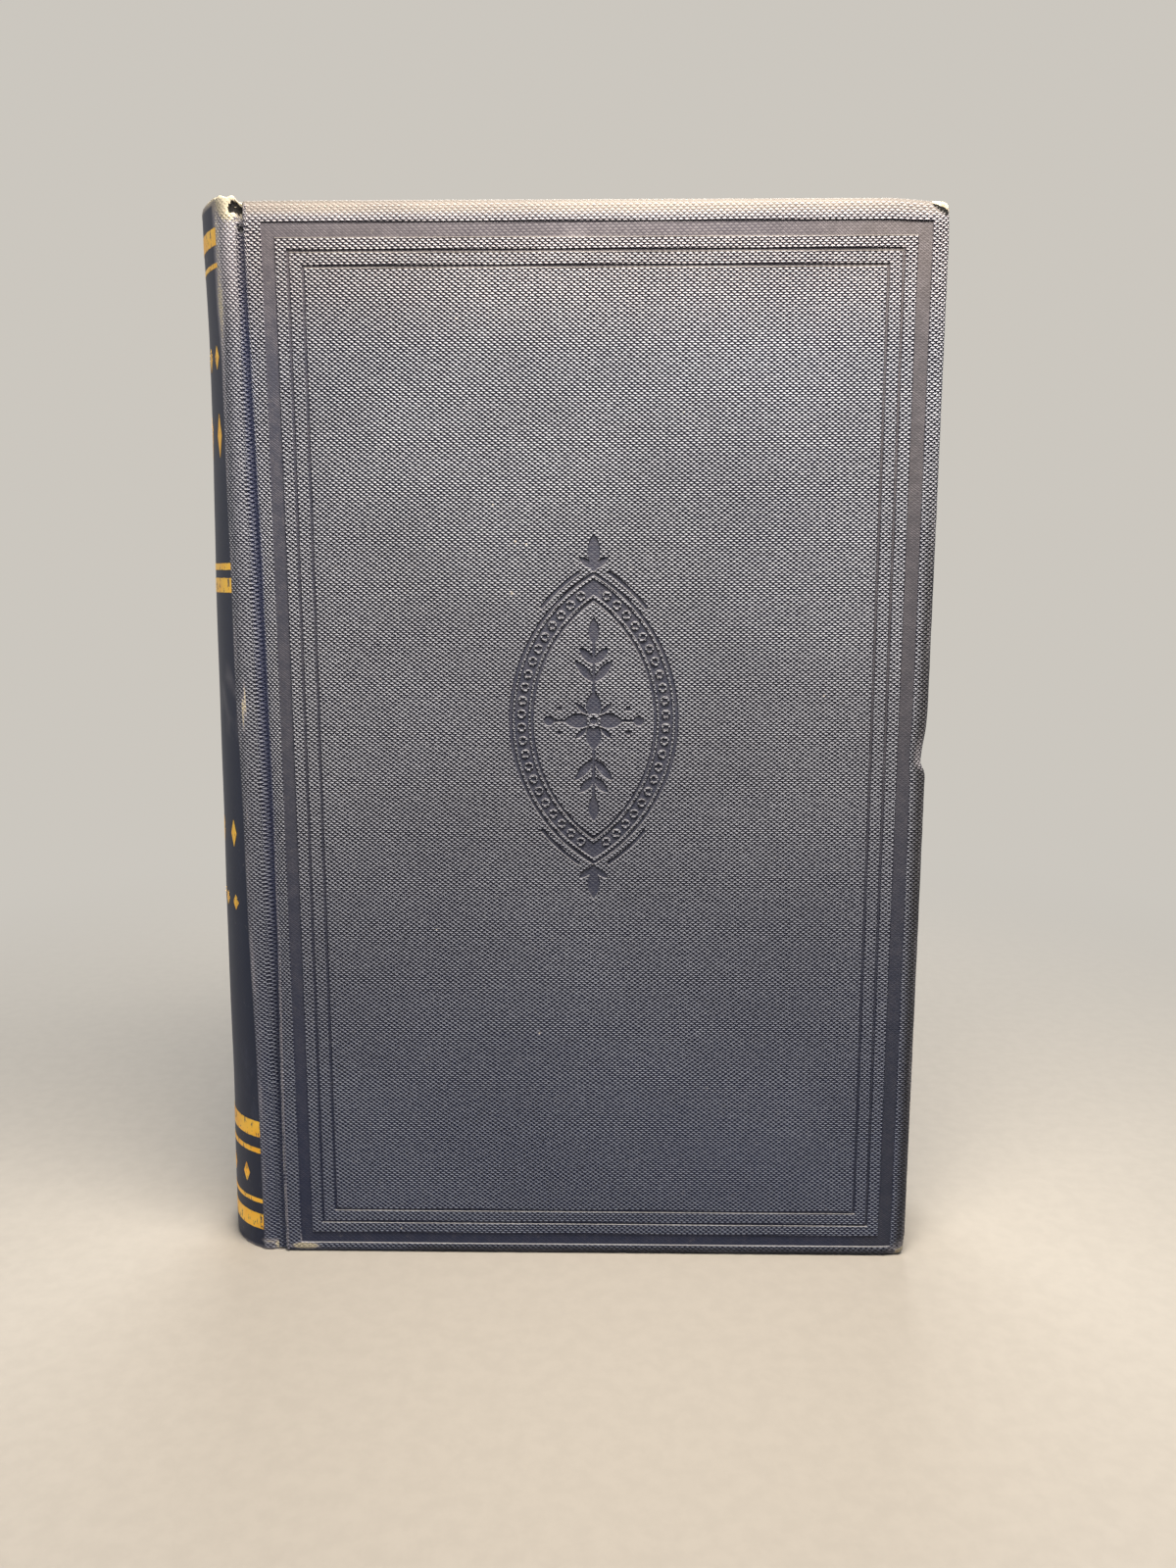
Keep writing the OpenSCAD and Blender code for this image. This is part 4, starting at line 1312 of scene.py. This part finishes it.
moved_copy("spine_mull", "back_gauze", MULL_MAT, "book_block", lean)
moved_copy("spine_lining", "back_lining", LINING_MAT, "book_block", lean)
moved_copy("spine_inlay", "spine_card", BOARD_MAT, "book_block", lambda x, y, z: lean(x, y, z, True))
for cover_side in SIDES:
    moved_copy(
        f"{cover_side}_board", f"{cover_side}_millboard", BOARD_MAT, f"{cover_side}_cover", follow_groove,
        (-62.4, -61.8, -61.0, SHIFT_END),
    )

# The other CAD solids keep their shape and get their finish
for kind, finish in (("mull_flap", MULL_MAT), ("pastedown", ENDPAPER_MAT), ("flyleaf", ENDPAPER_MAT)):
    for cover_side in SIDES:
        cad_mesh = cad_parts[f"{cover_side}_{kind}"].data
        cad_mesh.materials.clear()
        cad_mesh.materials.append(finish)


# ---------------------------------------------------------------- stage
PALE = (0.60, 0.57, 0.52)
FLOOR_HALF = 9


def floor_material():
    """Pale paper, which fades into the pale surroundings far from the book."""
    g = new_graph("pale_floor")
    place, seen = g.place(), g.seen()
    fibre = g.noise(place, 240, 4, 0.6)
    tone = g.mix(g.ramp(fibre, 0.3, 0.7), PALE, [c * 0.95 for c in PALE])
    g.fill(
        g.shader, Base_Color=g.mix(seen, (0.3, 0.29, 0.28), tone), Roughness=0.9,
        Normal=g.bump(fibre, 0.0001, 0.4), Specular_IOR_Level=0.2,
    )
    reach = g.add("VectorMath", place, operation="LENGTH").outputs["Value"]
    far = g.times(g.ramp(reach, 0.09, 0.44), seen)
    glow = g.add("Emission", PALE, 1.0)
    return g.surface(g.add("MixShader", far, g.shader.outputs[0], glow.outputs[0]))


def build_floor():
    mesh = bpy.data.meshes.new("floor")
    corners = [(x * FLOOR_HALF, y * FLOOR_HALF, 0) for x, y in ((-1, -1), (1, -1), (1, 1), (-1, 1))]
    mesh.from_pydata(corners, [], [(0, 1, 2, 3)])
    mesh.materials.append(floor_material())
    add_object("floor", mesh)


def build_world():
    """Weak even light, and a pale surrounding where the camera or a reflection looks past the book."""
    g = Graph(bpy.data.worlds.new("studio"))
    back = g.fill(g.tree.nodes["Background"], Color=(0.72, 0.82, 1.0), Strength=0.10)
    pale = g.add("Background", PALE)
    mixed = g.add("MixShader", g.seen(), back.outputs[0], pale.outputs[0])
    bpy.context.scene.world = g.surface(mixed, "World Output")


def area_light(name, place, target, size, power, colour):
    data = bpy.data.lights.new(name, "AREA")
    data.shape = "RECTANGLE"
    data.size, data.size_y = size
    data.energy = power
    data.color = colour
    made = add_object(name, data)
    made.location = place
    made.rotation_euler = (Vector(target) - Vector(place)).to_track_quat("-Z", "Y").to_euler()
    made.visible_camera = False


# The camera, as solved from the photograph: focal length in shares of its height, place and turn
SENSOR = 36.0
FOCAL_SHARE = 1294 / 1600
CAMERA_PLACE = ((FORE_X - 70.6 + 2.81) * MM, -0.28856, 0.15498)
CAMERA_DOWN, CAMERA_LEFT = 9.56, 0.92


def build_camera():
    data = bpy.data.cameras.new("camera")
    data.sensor_width = SENSOR
    data.lens = FOCAL_SHARE * SENSOR
    data.clip_start = 0.01
    made = add_object("camera", data)
    made.location = CAMERA_PLACE
    made.rotation_euler = (math.radians(90 - CAMERA_DOWN), 0, math.radians(CAMERA_LEFT))
    bpy.context.scene.camera = made


build_floor()
build_world()
area_light("key_light", (0.05, -0.127, 0.395), (0.01, -0.03, 0.12), (0.20, 0.12), 1.9, (1.0, 0.89, 0.76))
area_light("left_light", (-0.55, -0.16, 0.22), (-0.05, 0, 0.11), (0.3, 0.3), 0.4, (1.0, 0.95, 0.9))
area_light("right_light", (0.6, 0.14, 0.3), (0.05, 0, 0.11), (0.3, 0.3), 0.12, (0.95, 0.97, 1.0))
area_light("back_light", (0.0, 0.42, 0.5), (0, 0, 0.1), (0.4, 0.4), 2.6, (1.0, 0.98, 0.95))
bpy.context.scene.view_settings.view_transform = "Standard"
build_camera()
